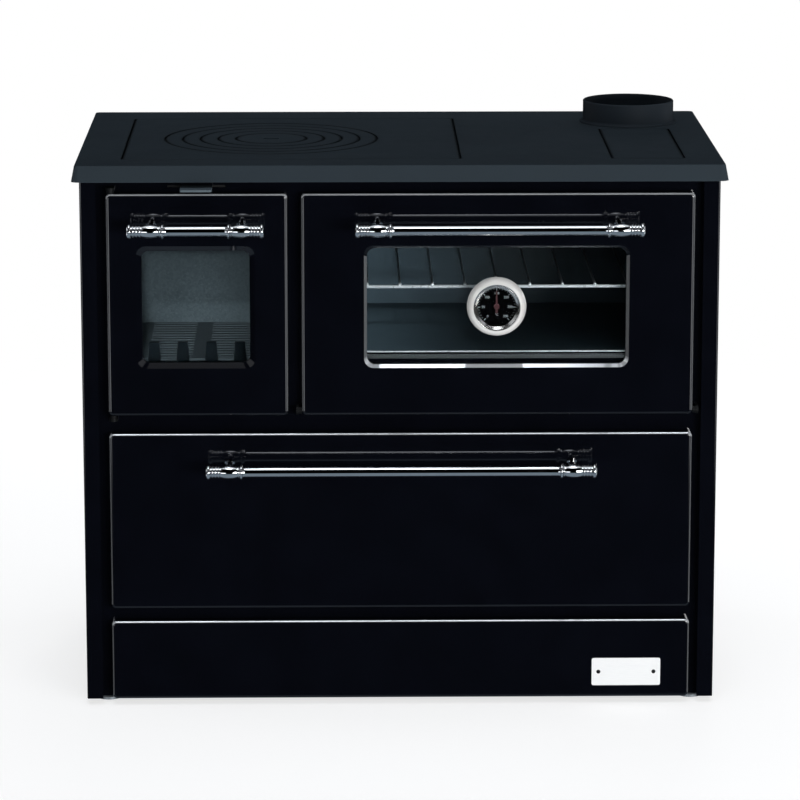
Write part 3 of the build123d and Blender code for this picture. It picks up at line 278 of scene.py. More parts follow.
def polished_chrome():
    # Nickel-chrome plate on turned brass: mirror bright under an uneven film, with wiping marks
    # along the bar. The marks are finer than a hair, and drawn 0.8 mm apart so that they show.
    material, tree, place = start_finish("polished_chrome")
    along = add(tree, "Mapping", {"Vector": place, "Scale": (0.12, 1.0, 1.0)})
    wipe = add(tree, "TexNoise", {"Vector": along.outputs["Vector"], "Scale": per_metre(0.8),
                                  "Detail": 3.0})
    film = add(tree, "TexNoise", {"Vector": place, "Scale": per_metre(14), "Detail": 3.0})
    rough = add(tree, "MapRange", {"Value": film.outputs["Fac"], "From Min": 0.3, "From Max": 0.75,
                                   "To Min": 0.035, "To Max": 0.09})
    tone = add(tree, "Mix", {SHARE: film.outputs["Fac"], FIRST: linear("e4e6e8"),
                             SECOND: linear("d2d5d8")}, data_type="RGBA")
    bump = add(tree, "Bump", {"Height": wipe.outputs["Fac"], "Strength": 0.05,
                              "Distance": 0.03 * MM})
    return finished(material, {"Base Color": tone.outputs[MIXED], "Roughness": rough.outputs[0],
                               "Normal": bump.outputs["Normal"], "Metallic": 1.0})


def satin_nickel():
    # Satin nickel under clear lacquer on the thermometer's bezel: bright and soft. Its turning
    # lines round the axis are much finer, and drawn 5 mm apart as a faint swell. From the groove
    # inwards the bare lip is polished.
    material, tree, place = start_finish("lacquered_satin_nickel")
    low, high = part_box("thermometer_case")
    centre = (low + high) / 2
    centred = add(tree, "Mapping", {"Vector": place,
                                    "Location": (-centre.x, -centre.y, -centre.z)})
    flat = add(tree, "VectorMath", {0: centred.outputs["Vector"], 1: (1, 0, 1)},
               operation="MULTIPLY")
    radius = add(tree, "VectorMath", {0: flat.outputs[0]}, operation="LENGTH").outputs["Value"]
    lip = add(tree, "MapRange", {"Value": radius, "From Min": 36.0 * MM, "From Max": 35.6 * MM})
    metal = add(tree, "MapRange", {"Value": lip.outputs[0], "To Min": 0.35, "To Max": 1.0})
    rings = add(tree, "TexWave", {"Vector": centred.outputs["Vector"], "Distortion": 0.4,
                                  "Scale": waves_per_metre(5.067)},
                wave_type="RINGS", rings_direction="Y")
    film = add(tree, "TexNoise", {"Vector": place, "Scale": per_metre(9), "Detail": 3.0})
    tone = add(tree, "Mix", {SHARE: film.outputs["Fac"], FIRST: linear("f4f3f0"),
                             SECOND: linear("e4e3e0")}, data_type="RGBA")
    rough = add(tree, "MapRange", {"Value": film.outputs["Fac"], "To Min": 0.16, "To Max": 0.24})
    bump = add(tree, "Bump", {"Height": rings.outputs["Fac"], "Strength": 0.04,
                              "Distance": 0.05 * MM})
    return finished(material, {"Base Color": tone.outputs[MIXED], "Roughness": rough.outputs[0],
                               "Normal": bump.outputs["Normal"], "Metallic": metal.outputs[0]})


def zinc_sheet():
    # Hot-dip galvanised sheet: grey crystals about 14 mm across, each with its own sheen, under a
    # dull film with 3 mm ripples.
    material, tree, place = start_finish("galvanised_sheet")
    spangle = add(tree, "TexVoronoi", {"Vector": place, "Scale": per_metre(14), "Randomness": 1.0})
    grey = add(tree, "RGBToBW", {"Color": spangle.outputs["Color"]})
    ripple = add(tree, "TexNoise", {"Vector": place, "Scale": per_metre(3), "Detail": 4.0})
    tone = add(tree, "Mix", {SHARE: grey.outputs[0], FIRST: linear("868b8f"),
                             SECOND: linear("a6abaf")}, data_type="RGBA")
    rough = add(tree, "MapRange", {"Value": grey.outputs[0], "To Min": 0.34, "To Max": 0.52})
    bump = add(tree, "Bump", {"Height": ripple.outputs["Fac"], "Strength": 0.12,
                              "Distance": 0.06 * MM})
    return finished(material, {"Base Color": tone.outputs[MIXED], "Roughness": rough.outputs[0],
                               "Normal": bump.outputs["Normal"], "Metallic": 0.55})


def satin_black_steel():
    # Mild steel under satin heat-proof paint: near black, with a spray grain and rubbed corners.
    material, tree, place = start_finish("satin_black_steel")
    mist = add(tree, "TexNoise", {"Vector": place, "Scale": per_metre(2.2), "Detail": 4.0})
    cloud = add(tree, "TexNoise", {"Vector": place, "Scale": per_metre(45), "Detail": 3.0})
    wear = worn_edges(tree, 0.9, 0.3)
    tone = add(tree, "Mix", {SHARE: cloud.outputs["Fac"], FIRST: linear("090a0b"),
                             SECOND: linear("0f1113")}, data_type="RGBA")
    worn = add(tree, "Mix", {SHARE: wear, FIRST: tone.outputs[MIXED], SECOND: linear("1e2225")},
               data_type="RGBA")
    rough = add(tree, "MapRange", {"Value": mist.outputs["Fac"], "To Min": 0.44, "To Max": 0.58})
    bump = add(tree, "Bump", {"Height": mist.outputs["Fac"], "Strength": 0.2,
                              "Distance": 0.05 * MM})
    return finished(material, {"Base Color": worn.outputs[MIXED], "Roughness": rough.outputs[0],
                               "Normal": bump.outputs["Normal"], "Specular IOR Level": 0.12})


def blued_steel():
    # Heat-blued steel of the air slide: its tab is a cloudy blue-grey, rubbed brighter on its
    # corners by fingers, and what lies behind the front plate's face, the shutter, is near black.
    material, tree, place = start_finish("heat_blued_steel")
    cloud = add(tree, "TexNoise", {"Vector": place, "Scale": per_metre(12), "Detail": 3.0})
    wear = worn_edges(tree, 0.6, 0.5)
    tone = add(tree, "Mix", {SHARE: cloud.outputs["Fac"], FIRST: linear("4a565d"),
                             SECOND: linear("5c6870")}, data_type="RGBA")
    worn = add(tree, "Mix", {SHARE: wear, FIRST: tone.outputs[MIXED], SECOND: linear("7d858b")},
               data_type="RGBA")
    plate_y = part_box("front_fascia")[0].y
    depth = add(tree, "SeparateXYZ", {"Vector": place})
    # Near black from the front plate's face back, over a 3 mm ramp in front of it.
    behind = add(tree, "MapRange", {"Value": depth.outputs["Y"], "From Min": plate_y - 3 * MM,
                                    "From Max": plate_y})
    near_black_behind = add(tree, "Mix", {SHARE: behind.outputs[0], FIRST: worn.outputs[MIXED],
                               SECOND: linear("060708")}, data_type="RGBA")
    rough = add(tree, "MapRange", {"Value": cloud.outputs["Fac"], "To Min": 0.42, "To Max": 0.56})
    return finished(material, {"Base Color": near_black_behind.outputs[MIXED], "Roughness": rough.outputs[0],
                               "Specular IOR Level": 0.2})


def oven_enamel():
    # Charcoal oven enamel: semi-gloss with a slight orange peel and grey flecks about 1 mm across.
    material, tree, place = start_finish("flecked_oven_enamel")
    cells = add(tree, "TexVoronoi", {"Vector": place, "Scale": per_metre(5.5), "Randomness": 1.0})
    fleck = add(tree, "MapRange", {"Value": cells.outputs["Distance"], "From Min": 0.11,
                                   "From Max": 0.07})
    grey = add(tree, "RGBToBW", {"Color": cells.outputs["Color"]})
    picked = add(tree, "Math", {0: grey.outputs[0], 1: FLECK_PICK}, operation="GREATER_THAN")
    shown = add(tree, "Math", {0: fleck.outputs[0], 1: picked.outputs[0]}, operation="MULTIPLY")
    cloud = add(tree, "TexNoise", {"Vector": place, "Scale": per_metre(80), "Detail": 3.0})
    tone = add(tree, "Mix", {SHARE: cloud.outputs["Fac"], FIRST: linear("2b363c"),
                             SECOND: linear("333f46")}, data_type="RGBA")
    flecked = add(tree, "Mix", {SHARE: shown.outputs[0], FIRST: tone.outputs[MIXED],
                                SECOND: linear("515d63")}, data_type="RGBA")
    rough = add(tree, "MapRange", {"Value": cloud.outputs["Fac"], "To Min": 0.35, "To Max": 0.45})
    peel = add(tree, "TexNoise", {"Vector": place, "Scale": per_metre(5), "Detail": 1.0})
    bump = add(tree, "Bump", {"Height": peel.outputs["Fac"], "Strength": 0.15,
                              "Distance": 0.05 * MM})
    return finished(material, {"Base Color": flecked.outputs[MIXED], "Roughness": rough.outputs[0],
                               "Normal": bump.outputs["Normal"], "Specular IOR Level": 0.12})


def bright_wire():
    # Bright zinc-dipped wire of the oven shelf: pale metal, duller than the handles, with a faint
    # uneven film. Behind its front rail it is painted darker as shade deeper in the oven: more and
    # more from 8 to 30 mm back, dark from there.
    material, tree, place = start_finish("bright_dipped_wire")
    film = add(tree, "TexNoise", {"Vector": place, "Scale": per_metre(6), "Detail": 3.0})
    tone = add(tree, "Mix", {SHARE: film.outputs["Fac"], FIRST: linear("e6e9eb"),
                             SECOND: linear("cfd3d6")}, data_type="RGBA")
    rail_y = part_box("oven_rack")[0].y
    depth = add(tree, "SeparateXYZ", {"Vector": place})
    # Painted shade: the wire darkens with depth into the oven.
    painted_depth_shade = add(tree, "MapRange", {"Value": depth.outputs["Y"], "From Min": rail_y + 8 * MM,
                                   "From Max": rail_y + 30 * MM, "To Max": 0.9})
    shown = add(tree, "Mix", {SHARE: painted_depth_shade.outputs[0], FIRST: tone.outputs[MIXED],
                              SECOND: linear("2b3236")}, data_type="RGBA")
    rough = add(tree, "MapRange", {"Value": film.outputs["Fac"], "To Min": 0.22, "To Max": 0.36})
    return finished(material, {"Base Color": shown.outputs[MIXED], "Roughness": rough.outputs[0],
                               "Metallic": 0.4})


def plated_steel():
    # Zinc-plated mild steel of feet, rails, stem and screws: grey and cloudy with a soft sheen. Its
    # drawn lines are finer, and spaced 0.9 mm here so that they show.
    material, tree, place = start_finish("zinc_plated_steel")
    stretched = add(tree, "Mapping", {"Vector": place, "Scale": (0.08, 1.0, 1.0)})
    drawn = add(tree, "TexNoise", {"Vector": stretched.outputs["Vector"], "Scale": per_metre(0.9),
                                   "Detail": 3.0})
    cloud = add(tree, "TexNoise", {"Vector": place, "Scale": per_metre(25), "Detail": 3.0})
    tone = add(tree, "Mix", {SHARE: cloud.outputs["Fac"], FIRST: linear("83898e"),
                             SECOND: linear("9aa0a5")}, data_type="RGBA")
    rough = add(tree, "MapRange", {"Value": drawn.outputs["Fac"], "To Min": 0.28, "To Max": 0.44})
    bump = add(tree, "Bump", {"Height": drawn.outputs["Fac"], "Strength": 0.1,
                              "Distance": 0.04 * MM})
    return finished(material, {"Base Color": tone.outputs[MIXED], "Roughness": rough.outputs[0],
                               "Normal": bump.outputs["Normal"], "Metallic": 0.6})


def fire_brick():
    # Pressed vermiculite board: blue-grey crumbs and flakes 1 to 4 mm across, dead matt, a little
    # smoked.
    material, tree, place = start_finish("vermiculite_board")
    flakes = add(tree, "TexVoronoi", {"Vector": place, "Scale": per_metre(3.4)})
    grey = add(tree, "RGBToBW", {"Color": flakes.outputs["Color"]})
    crumb = add(tree, "TexNoise", {"Vector": place, "Scale": per_metre(1.3), "Detail": 4.0})
    smoke = add(tree, "TexNoise", {"Vector": place, "Scale": per_metre(110), "Detail": 3.0})
    tone = add(tree, "Mix", {SHARE: grey.outputs[0], FIRST: linear("576369"),
                             SECOND: linear("707d84")}, data_type="RGBA")
    sooty = add(tree, "Mix", {SHARE: smoke.outputs["Fac"], FIRST: tone.outputs[MIXED],
                              SECOND: linear("556166")}, data_type="RGBA")
    low = add(tree, "Bump", {"Height": flakes.outputs["Distance"], "Strength": 0.4,
                             "Distance": 0.4 * MM})
    bump = add(tree, "Bump", {"Height": crumb.outputs["Fac"], "Strength": 0.5,
                              "Distance": 0.4 * MM, "Normal": low.outputs["Normal"]})
    return finished(material, {"Base Color": sooty.outputs[MIXED], "Roughness": 0.95,
                               "Normal": bump.outputs["Normal"], "Specular IOR Level": 0.2})


def ceramic_glass():
    # Clear heat-proof ceramic glass, very slightly smoky, with a film of wiping marks.
    material, tree, place = start_finish("clear_ceramic_glass")
    film = add(tree, "TexNoise", {"Vector": place, "Scale": per_metre(35), "Detail": 4.0})
    rough = add(tree, "MapRange", {"Value": film.outputs["Fac"], "From Min": 0.4, "From Max": 0.8,
                                   "To Max": 0.03})
    return finished(material, {"Base Color": linear("e6ecee"), "Roughness": rough.outputs[0],
                               "IOR": 1.5, "Transmission Weight": 1.0})


def thin_coat(name, grain_mm, detail, first, second, smoothest, roughest):
    """Starts a sprayed or printed coat: two near tones and an uneven gloss, both in one grain."""
    material, tree, place = start_finish(name)
    mist = add(tree, "TexNoise", {"Vector": place, "Scale": per_metre(grain_mm), "Detail": detail})
    tone = add(tree, "Mix", {SHARE: mist.outputs["Fac"], FIRST: linear(first),
                             SECOND: linear(second)}, data_type="RGBA")
    rough = add(tree, "MapRange", {"Value": mist.outputs["Fac"], "To Min": smoothest,
                                   "To Max": roughest})
    return material, {"Base Color": tone.outputs[MIXED], "Roughness": rough.outputs[0]}


def dial_black():
    # Stove-enamelled aluminium dial, matt black with a fine spray grain.
    material, sockets = thin_coat("matt_black_dial", 1.2, 3.0, "040405", "08090a", 0.75, 0.9)
    return finished(material, {**sockets, "Specular IOR Level": 0.0})


def pointer_red():
    # Dark red lacquer on the pointer, a little uneven in its coat.
    return finished(*thin_coat("red_lacquer", 2, 3.0, "35040c", "450812", 0.3, 0.42))


def dial_print():
    # White screen-printed scale, greyed by its thin coat, slightly soft and uneven.
    return finished(*thin_coat("white_scale_print", 0.8, 2.0, "b4b8b9", "989d9f", 0.55, 0.7))


def white_plate():
    # Bare plate of white-lacquered aluminium: its brushed grain shows faintly under the lacquer,
    # drawn at 0.5 mm, coarser than real.
    material, tree, place = start_finish("white_lacquered_aluminium")
    stretched = add(tree, "Mapping", {"Vector": place, "Scale": (0.04, 1.0, 1.0)})
    brush = add(tree, "TexNoise", {"Vector": stretched.outputs["Vector"], "Scale": per_metre(0.5),
                                   "Detail": 3.0})
    tone = add(tree, "Mix", {SHARE: brush.outputs["Fac"], FIRST: linear("f2f3f3"),
                             SECOND: linear("e2e4e5")}, data_type="RGBA")
    rough = add(tree, "MapRange", {"Value": brush.outputs["Fac"], "To Min": 0.34, "To Max": 0.44})
    bump = add(tree, "Bump", {"Height": brush.outputs["Fac"], "Strength": 0.08,
                              "Distance": 0.03 * MM})
    return finished(material, {"Base Color": tone.outputs[MIXED], "Roughness": rough.outputs[0],
                               "Normal": bump.outputs["Normal"]})


def sealing_rope():
    # Knitted glass-fibre rope, graphite grey: crossing rows of stitches 3.5 mm apart, dull and
    # fuzzy.
    material, tree, place = start_finish("knitted_glass_fibre")
    run = add(tree, "UVMap", uv_map="along").outputs["UV"]
    rows = []
    for lean in (45, -45):
        turned = add(tree, "Mapping", {"Vector": run, "Rotation": (0, 0, math.radians(lean))})
        row = add(tree, "TexWave", {"Vector": turned.outputs["Vector"], "Distortion": 0.6,
                                    "Scale": waves_per_metre(3.4907)})
        rows.append(row.outputs["Fac"])
    knit = add(tree, "Math", {0: rows[0], 1: rows[1]}, operation="MAXIMUM")
    fibre = add(tree, "TexNoise", {"Vector": place, "Scale": per_metre(0.7), "Detail": 3.0})
    tone = add(tree, "Mix", {SHARE: knit.outputs[0], FIRST: linear("1e1f21"),
                             SECOND: linear("4a4d50")}, data_type="RGBA")
    low = add(tree, "Bump", {"Height": knit.outputs[0], "Strength": 0.8, "Distance": 0.6 * MM})
    bump = add(tree, "Bump", {"Height": fibre.outputs["Fac"], "Strength": 0.5,
                              "Distance": 0.2 * MM, "Normal": low.outputs["Normal"]})
    return finished(material, {"Base Color": tone.outputs[MIXED], "Roughness": 0.9,
                               "Normal": bump.outputs["Normal"], "Sheen Weight": 0.2})


enamel = black_enamel("black_vitreous_enamel")
PRESSED_PANELS = ("fire_door_panel", "oven_door_panel", "drawer_front", "plinth_panel")
# Each pressed panel gets its own enamel, with a painted highlight along its rolled rim.
rim_highlight_enamel = {node: black_enamel("black_enamel_rim_highlight_" + node, node)
                  for node in PRESSED_PANELS}
# Colours of each casting: the darker and the lighter tone of its skin, and its rubbed edges.
cast_iron = sand_cast_iron("blackened_cast_iron", "252d33", "303a41", "434e55", jointed=True)
collar_iron = sand_cast_iron("blackened_collar_iron", "1c2228", "262e35", "39434a")
# The log retainer is a near-black copy of the iron: painted shade for where its teeth sit.
retainer_iron_painted_shade = sand_cast_iron("cast_iron_painted_shade", "0a1318", "101a20", "182228")
hearth_iron = sand_cast_iron("grey_primed_cast_iron", "525c62", "616b70", "6c767b")
black_steel = satin_black_steel()
wire = bright_wire()
plated = plated_steel()
rope = sealing_rope()

FINISH_OF_SLOT = {
    "enamel": enamel, "black_steel": black_steel, "galvanised": zinc_sheet(),
    "cast_iron": cast_iron, "chrome": polished_chrome(), "firebrick": fire_brick(),
    "oven_steel": oven_enamel(), "wire": wire, "glass": ceramic_glass(), "rope": rope,
    "dial": dial_black(), "needle": pointer_red(), "steel": plated,
}
FINISH_OF_NODE = {
    "thermometer_case": satin_nickel(), "flue_collar": collar_iron, "log_retainer": retainer_iron_painted_shade,
    "hearth_plate": hearth_iron, "fire_grate": hearth_iron, "air_slide": blued_steel(),
    **rim_highlight_enamel,
}


def dress_cad_nodes():
    """Each node of the frame gets its own finish, or that of its slot in the record."""
    for part in frame["record"]["subparts"]:
        node = frame["nodes"][part["node"]]
        material = FINISH_OF_NODE.get(part["node"], FINISH_OF_SLOT[part["material_slot"]])
        if not node.material_slots:
            node.data.materials.append(material)
        for place in node.material_slots:
            place.material = material
        if part["material_slot"] == "glass":
            node.visible_shadow = False


# ---------------------------------------------------------------- piece helpers
MERGED = 1e-6  # metres between vertices that count as one


def object_from(shape, name, material):
    """Turns a bmesh into an object in one finish, and frees the bmesh."""
    mesh = bpy.data.meshes.new(name)
    shape.to_mesh(mesh)
    shape.free()
    mesh.materials.append(material)
    made = bpy.data.objects.new(name, mesh)
    bpy.context.scene.collection.objects.link(made)
    return made


def piece(name, shape, material, body):
    """Turns a bmesh in the row frame into a named piece that rides on a body."""
    bmesh.ops.remove_doubles(shape, verts=shape.verts, dist=MERGED)
    bmesh.ops.recalc_face_normals(shape, faces=shape.faces)
    made = object_from(shape, name, material)
    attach(made, body)
    return made


def split_up(geometry):
    """The vertices and the edges among what an operator returns."""
    return ([item for item in geometry if isinstance(item, bmesh.types.BMVert)],
            [item for item in geometry if isinstance(item, bmesh.types.BMEdge)])


def soften(shape, geometry, offset, segments=2, affect="EDGES"):
    """Rounds edges or corners."""
    bmesh.ops.bevel(shape, geom=geometry, offset=offset, segments=segments, profile=0.5,
                    affect=affect, material=-1)


# ---------------------------------------------------------------- name plate, left bare
PLATE_X, PLATE_Z = 352 * MM, 51 * MM
PLATE_HALF_X, PLATE_HALF_Z, PLATE_THICK = 53.5 * MM, 22 * MM, 0.9 * MM
PLATE_CORNER, PLATE_EDGE = 3 * MM, 0.25 * MM
PLATE_GAP = 0.02 * MM  # behind the plate, so that it doesn't share the panel's face
SAME_LEVEL = 1e-7  # metres from the front within which a vertex lies on it
RIVET_FROM_MIDDLE, RIVET_RADIUS, RIVET_DOMING = 43 * MM, 3.2 * MM, 0.42


def name_plate():
    """Blank plate with rounded corners on the plinth, held by two dome rivets."""
    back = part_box("plinth_panel")[0].y - PLATE_GAP
    front = back - PLATE_THICK
    shape = bmesh.new()
    bmesh.ops.create_grid(shape, x_segments=1, y_segments=1, size=1.0,
                          matrix=Matrix.Translation((PLATE_X, back, PLATE_Z)) @ UPRIGHT
                          @ Matrix.Diagonal((PLATE_HALF_X, PLATE_HALF_Z, 1, 1)))
    soften(shape, list(shape.verts), PLATE_CORNER, segments=5, affect="VERTICES")
    grown = bmesh.ops.extrude_face_region(shape, geom=list(shape.faces))
    bmesh.ops.translate(shape, verts=split_up(grown["geom"])[0], vec=(0, -PLATE_THICK, 0))
    rims = [edge for edge in shape.edges
            if all(abs(v.co.y - front) < SAME_LEVEL for v in edge.verts)]
    soften(shape, rims, PLATE_EDGE)
    piece("name_plate_blank", shape, white_plate(), "casing")
    rivets = bmesh.new()
    for side in (-1, 1):
        at = Vector((PLATE_X + side * RIVET_FROM_MIDDLE, front, PLATE_Z))
        dome = bmesh.ops.create_uvsphere(rivets, u_segments=24, v_segments=12, radius=RIVET_RADIUS,
                                         matrix=Matrix.Translation(at)
                                         @ Matrix.Diagonal((1, RIVET_DOMING, 1, 1)))
        sunk = [v for v in dome["verts"] if v.co.y > at.y + 0.01 * MM]
        bmesh.ops.delete(rivets, geom=sunk, context="VERTS")
    piece("name_plate_rivets", rivets, black_steel, "casing")


# ---------------------------------------------------------------- thermometer scale
SWEEP = 276.0  # degrees from the first numeral to the last
NUMERALS = ("0", "50", "100", "150", "200", "250", "300")
MINOR_PER_STEP = 5
PRINT_THICK = 0.1 * MM
TICK_RADIUS = 29.0 * MM  # of the ticks' outer ends
MAJOR_TICK = (0.9 * MM, 4.0 * MM)  # width and length
MINOR_TICK = (0.45 * MM, 2.2 * MM)
NUMERAL_RADIUS, NUMERAL_SIZE = 20.5 * MM, 5.2 * MM
UNIT_RADIUS, UNIT_SIZE = 13.0 * MM, 4.8 * MM


def scale_angle(share):
    """Angle of a share of the scale, in radians to the left from straight up."""
    return math.radians(SWEEP / 2 - SWEEP * share)


def print_word(shape, face, text, angle, radius, size):
    """Adds upright lettering to the scale, centred at an angle and radius on the dial's face."""
    curve = bpy.data.curves.new("figure", "FONT")
    curve.body = text
    curve.size = size
    curve.extrude = PRINT_THICK / 2
    curve.align_x = "CENTER"
    curve.align_y = "CENTER"
    holder = bpy.data.objects.new("figure", curve)
    bpy.context.scene.collection.objects.link(holder)
    bpy.context.view_layer.update()
    seen = holder.evaluated_get(bpy.context.evaluated_depsgraph_get())
    mesh = bpy.data.meshes.new_from_object(seen)
    spot = Vector((-math.sin(angle) * radius, math.cos(angle) * radius, PRINT_THICK / 2))
    mesh.transform(face @ Matrix.Translation(spot))
    shape.from_mesh(mesh)
    bpy.data.meshes.remove(mesh)
    bpy.data.objects.remove(holder)
    bpy.data.curves.remove(curve)


def thermometer_scale():
    """Printed ticks, numerals and degree mark, a tenth of a millimetre proud of the dial."""
    low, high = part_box("thermometer_dial")
    centre = (low + high) / 2
    face = Matrix.Translation((centre.x, low.y, centre.z)) @ UPRIGHT
    shape = bmesh.new()
    last = len(NUMERALS) - 1
    steps = last * MINOR_PER_STEP
    for index in range(steps + 1):
        width, length = MINOR_TICK if index % MINOR_PER_STEP else MAJOR_TICK
        outwards = TICK_RADIUS - length / 2
        bmesh.ops.create_cube(shape, size=1.0,
                              matrix=face @ Matrix.Rotation(scale_angle(index / steps), 4, "Z")
                              @ Matrix.Translation((0, outwards, PRINT_THICK / 2))
                              @ Matrix.Diagonal((width, length, PRINT_THICK, 1)))
    for index, text in enumerate(NUMERALS):
        print_word(shape, face, text, scale_angle(index / last), NUMERAL_RADIUS, NUMERAL_SIZE)
    print_word(shape, face, "°C", math.radians(180), UNIT_RADIUS, UNIT_SIZE)
    piece("thermometer_scale", shape, dial_print(), "oven_door")


# ---------------------------------------------------------------- lip of the oven floor
LIP_INSET, LIP_RADIUS, LIP_HEIGHT = 14 * MM, 1.2 * MM, 557.0 * MM
LIP_BACK = 0.6 * MM  # from the liner's front edge to the bead's middle


def oven_lip():
    """Round bright bead along the front of the oven floor, just inside the door glass."""
    low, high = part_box("oven_liner")
    middle = ((low.x + high.x) / 2, low.y + LIP_BACK, LIP_HEIGHT)
    shape = bmesh.new()
    bmesh.ops.create_cone(shape, cap_ends=True, segments=20, radius1=LIP_RADIUS,
                          radius2=LIP_RADIUS, depth=high.x - low.x - 2 * LIP_INSET,
                          matrix=Matrix.Translation(middle)
                          @ Matrix.Rotation(QUARTER_TURN, 4, "Y"))
    piece("oven_floor_lip", shape, wire, "casing")


# ---------------------------------------------------------------- rope seals
ROPE_WIDE = 7 * MM
ROPE_SIDES, ROPE_STEP, BEND_STEPS = 14, 12 * MM, 6


def rope_seal(node, name, body, corner):
    """Round rope laid round the opening, a little flattened, in the room of its plain solid."""
    low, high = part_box(node)
    half = ROPE_WIDE / 2
    x0, x1, z0, z1 = low.x + half, high.x - half, low.z + half, high.z - half
    y = (low.y + high.y) / 2
    shape = bmesh.new()
    ring = bmesh.ops.create_circle(shape, cap_ends=False, segments=ROPE_SIDES, radius=0.5,
                                   matrix=Matrix.Translation((x0 + corner, y, z0))
                                   @ Matrix.Rotation(QUARTER_TURN, 4, "Y")
                                   @ Matrix.Diagonal((ROPE_WIDE, high.y - low.y, 1, 1)))
    verts = ring["verts"]
    edges = list({edge for vert in verts for edge in vert.link_edges})
    across, up = x1 - x0 - 2 * corner, z1 - z0 - 2 * corner
    # Each straight run, and the pivot of the bend after it, from the lower left corner on.
    straights = (((1, 0, 0), across, (x1 - corner, y, z0 + corner)),
                 ((0, 0, 1), up, (x1 - corner, y, z1 - corner)),
                 ((-1, 0, 0), across, (x0 + corner, y, z1 - corner)),
                 ((0, 0, -1), up, (x0 + corner, y, z0 + corner)))
    for direction, run, pivot in straights:
        count = max(2, round(run / ROPE_STEP))
        for _ in range(count):
            grown = bmesh.ops.extrude_edge_only(shape, edges=edges)
            verts, edges = split_up(grown["geom"])
            bmesh.ops.translate(shape, verts=verts, vec=Vector(direction) * run / count)
        bent = bmesh.ops.spin(shape, geom=verts + edges, cent=pivot, axis=(0, -1, 0),
                              angle=QUARTER_TURN, steps=BEND_STEPS, use_merge=False)
        verts, edges = split_up(bent["geom_last"])
    made = piece(name, shape, rope, body)
    lay_along(made.data, x0, x1, z0, z1, y)
    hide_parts(node)


def lay_along(mesh, x0, x1, z0, z1, y):
    """UV map for the knit: metres along the nearest side of the seal, and metres round the rope."""
    layer = mesh.uv_layers.new(name="along")
    centre_x, centre_z = (x0 + x1) / 2, (z0 + z1) / 2
    for polygon in mesh.polygons:
        middle = polygon.center
        from_side = min(abs(middle.x - x0), abs(middle.x - x1))
        upright = from_side < min(abs(middle.z - z0), abs(middle.z - z1))
        for index in polygon.loop_indices:
            co = mesh.vertices[mesh.loops[index].vertex_index].co
            if upright:
                along, off = co.z, co.x - (x1 if co.x > centre_x else x0)
            else:
                along, off = co.x, co.z - (z1 if co.z > centre_z else z0)
            layer.data[index].uv = (along, math.atan2(off, co.y - y) * ROPE_WIDE / 2)


# ---------------------------------------------------------------- small fasteners
HEX_SIDES, WASHER_SIDES = 6, 24
HEX_CORNER = 0.577  # radius over width across flats
WASHER_FOOT, WASHER_TOP = 0.75, 0.68  # radii over the head's width across flats
WASHER_THICK, HEAD_HIGH, HEAD_EDGE = 1.0 * MM, 3.0 * MM, 0.6 * MM
BACK_SCREW, LINER_SCREW = 7 * MM, 5.5 * MM  # widths across flats
BACK_INSET, LINER_INSET = 14 * MM, 5.7 * MM
UP_THE_SIDES = (0.04, 0.35, 0.66, 0.97)  # shares of the back panel's height
ALONG_THE_ENDS = (0.27, 0.5, 0.73)  # shares of its width


def add_hex_screw(shape, at, flats):
    """Hexagon head, flats wide, on a pressed washer, standing out to the back from its place."""
    place = Matrix.Translation(at) @ Vector((0, 1, 0)).to_track_quat("Z", "Y").to_matrix().to_4x4()
    middle = WASHER_THICK + HEAD_HIGH / 2
    bmesh.ops.create_cone(shape, cap_ends=True, segments=WASHER_SIDES, radius1=flats * WASHER_FOOT,
                          radius2=flats * WASHER_TOP, depth=WASHER_THICK,
                          matrix=place @ Matrix.Translation((0, 0, WASHER_THICK / 2)))
    head = bmesh.ops.create_cone(shape, cap_ends=True, segments=HEX_SIDES,
                                 radius1=flats * HEX_CORNER, radius2=flats * HEX_CORNER,
                                 depth=HEAD_HIGH,
                                 matrix=place @ Matrix.Translation((0, 0, middle)))
    rims = {edge for vert in head["verts"] for edge in vert.link_edges}
    level = WASHER_THICK + HEAD_HIGH - 0.1 * MM
    top = [edge for edge in rims if all((place.inverted() @ v.co).z > level for v in edge.verts)]
    soften(shape, top, HEAD_EDGE)


def back_screws():
    """Hex screws round the rear sheet."""
    low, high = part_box("back_panel")
    shape = bmesh.new()
    for x in (low.x + BACK_INSET, high.x - BACK_INSET):
        for share in UP_THE_SIDES:
            add_hex_screw(shape, (x, high.y, low.z + (high.z - low.z) * share), BACK_SCREW)
    for share in ALONG_THE_ENDS:
        for z in (low.z + BACK_INSET, high.z - BACK_INSET):
            add_hex_screw(shape, (low.x + (high.x - low.x) * share, high.y, z), BACK_SCREW)
    piece("back_panel_screws", shape, plated, "casing")


def liner_screws(node, body):
    """Four hex screws that clamp a door's liner to its bosses."""
    low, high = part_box(node)
    shape = bmesh.new()
    for x in (low.x + LINER_INSET, high.x - LINER_INSET):
        for z in (low.z + LINER_INSET, high.z - LINER_INSET):
            add_hex_screw(shape, (x, high.y, z), LINER_SCREW)
    piece(node + "_screws", shape, plated, body)


# ---------------------------------------------------------------- stage
COVE_START, COVE_END = 0.7, 2.6  # metres from the stove's middle, from soft shadow to full glow
COVE_GLOW, COVE_PAINT = (0.7, 1.0), (0.5, 0.0)  # at the start and at the end
UNDER_STOVE = (("X", 0.47), ("Y", 0.23))  # half sizes of the patch without glow, in metres
PATCH_BLUR = 0.04
FLOOR_HALF, BACKDROP_RADIUS = 14.0, 13.5


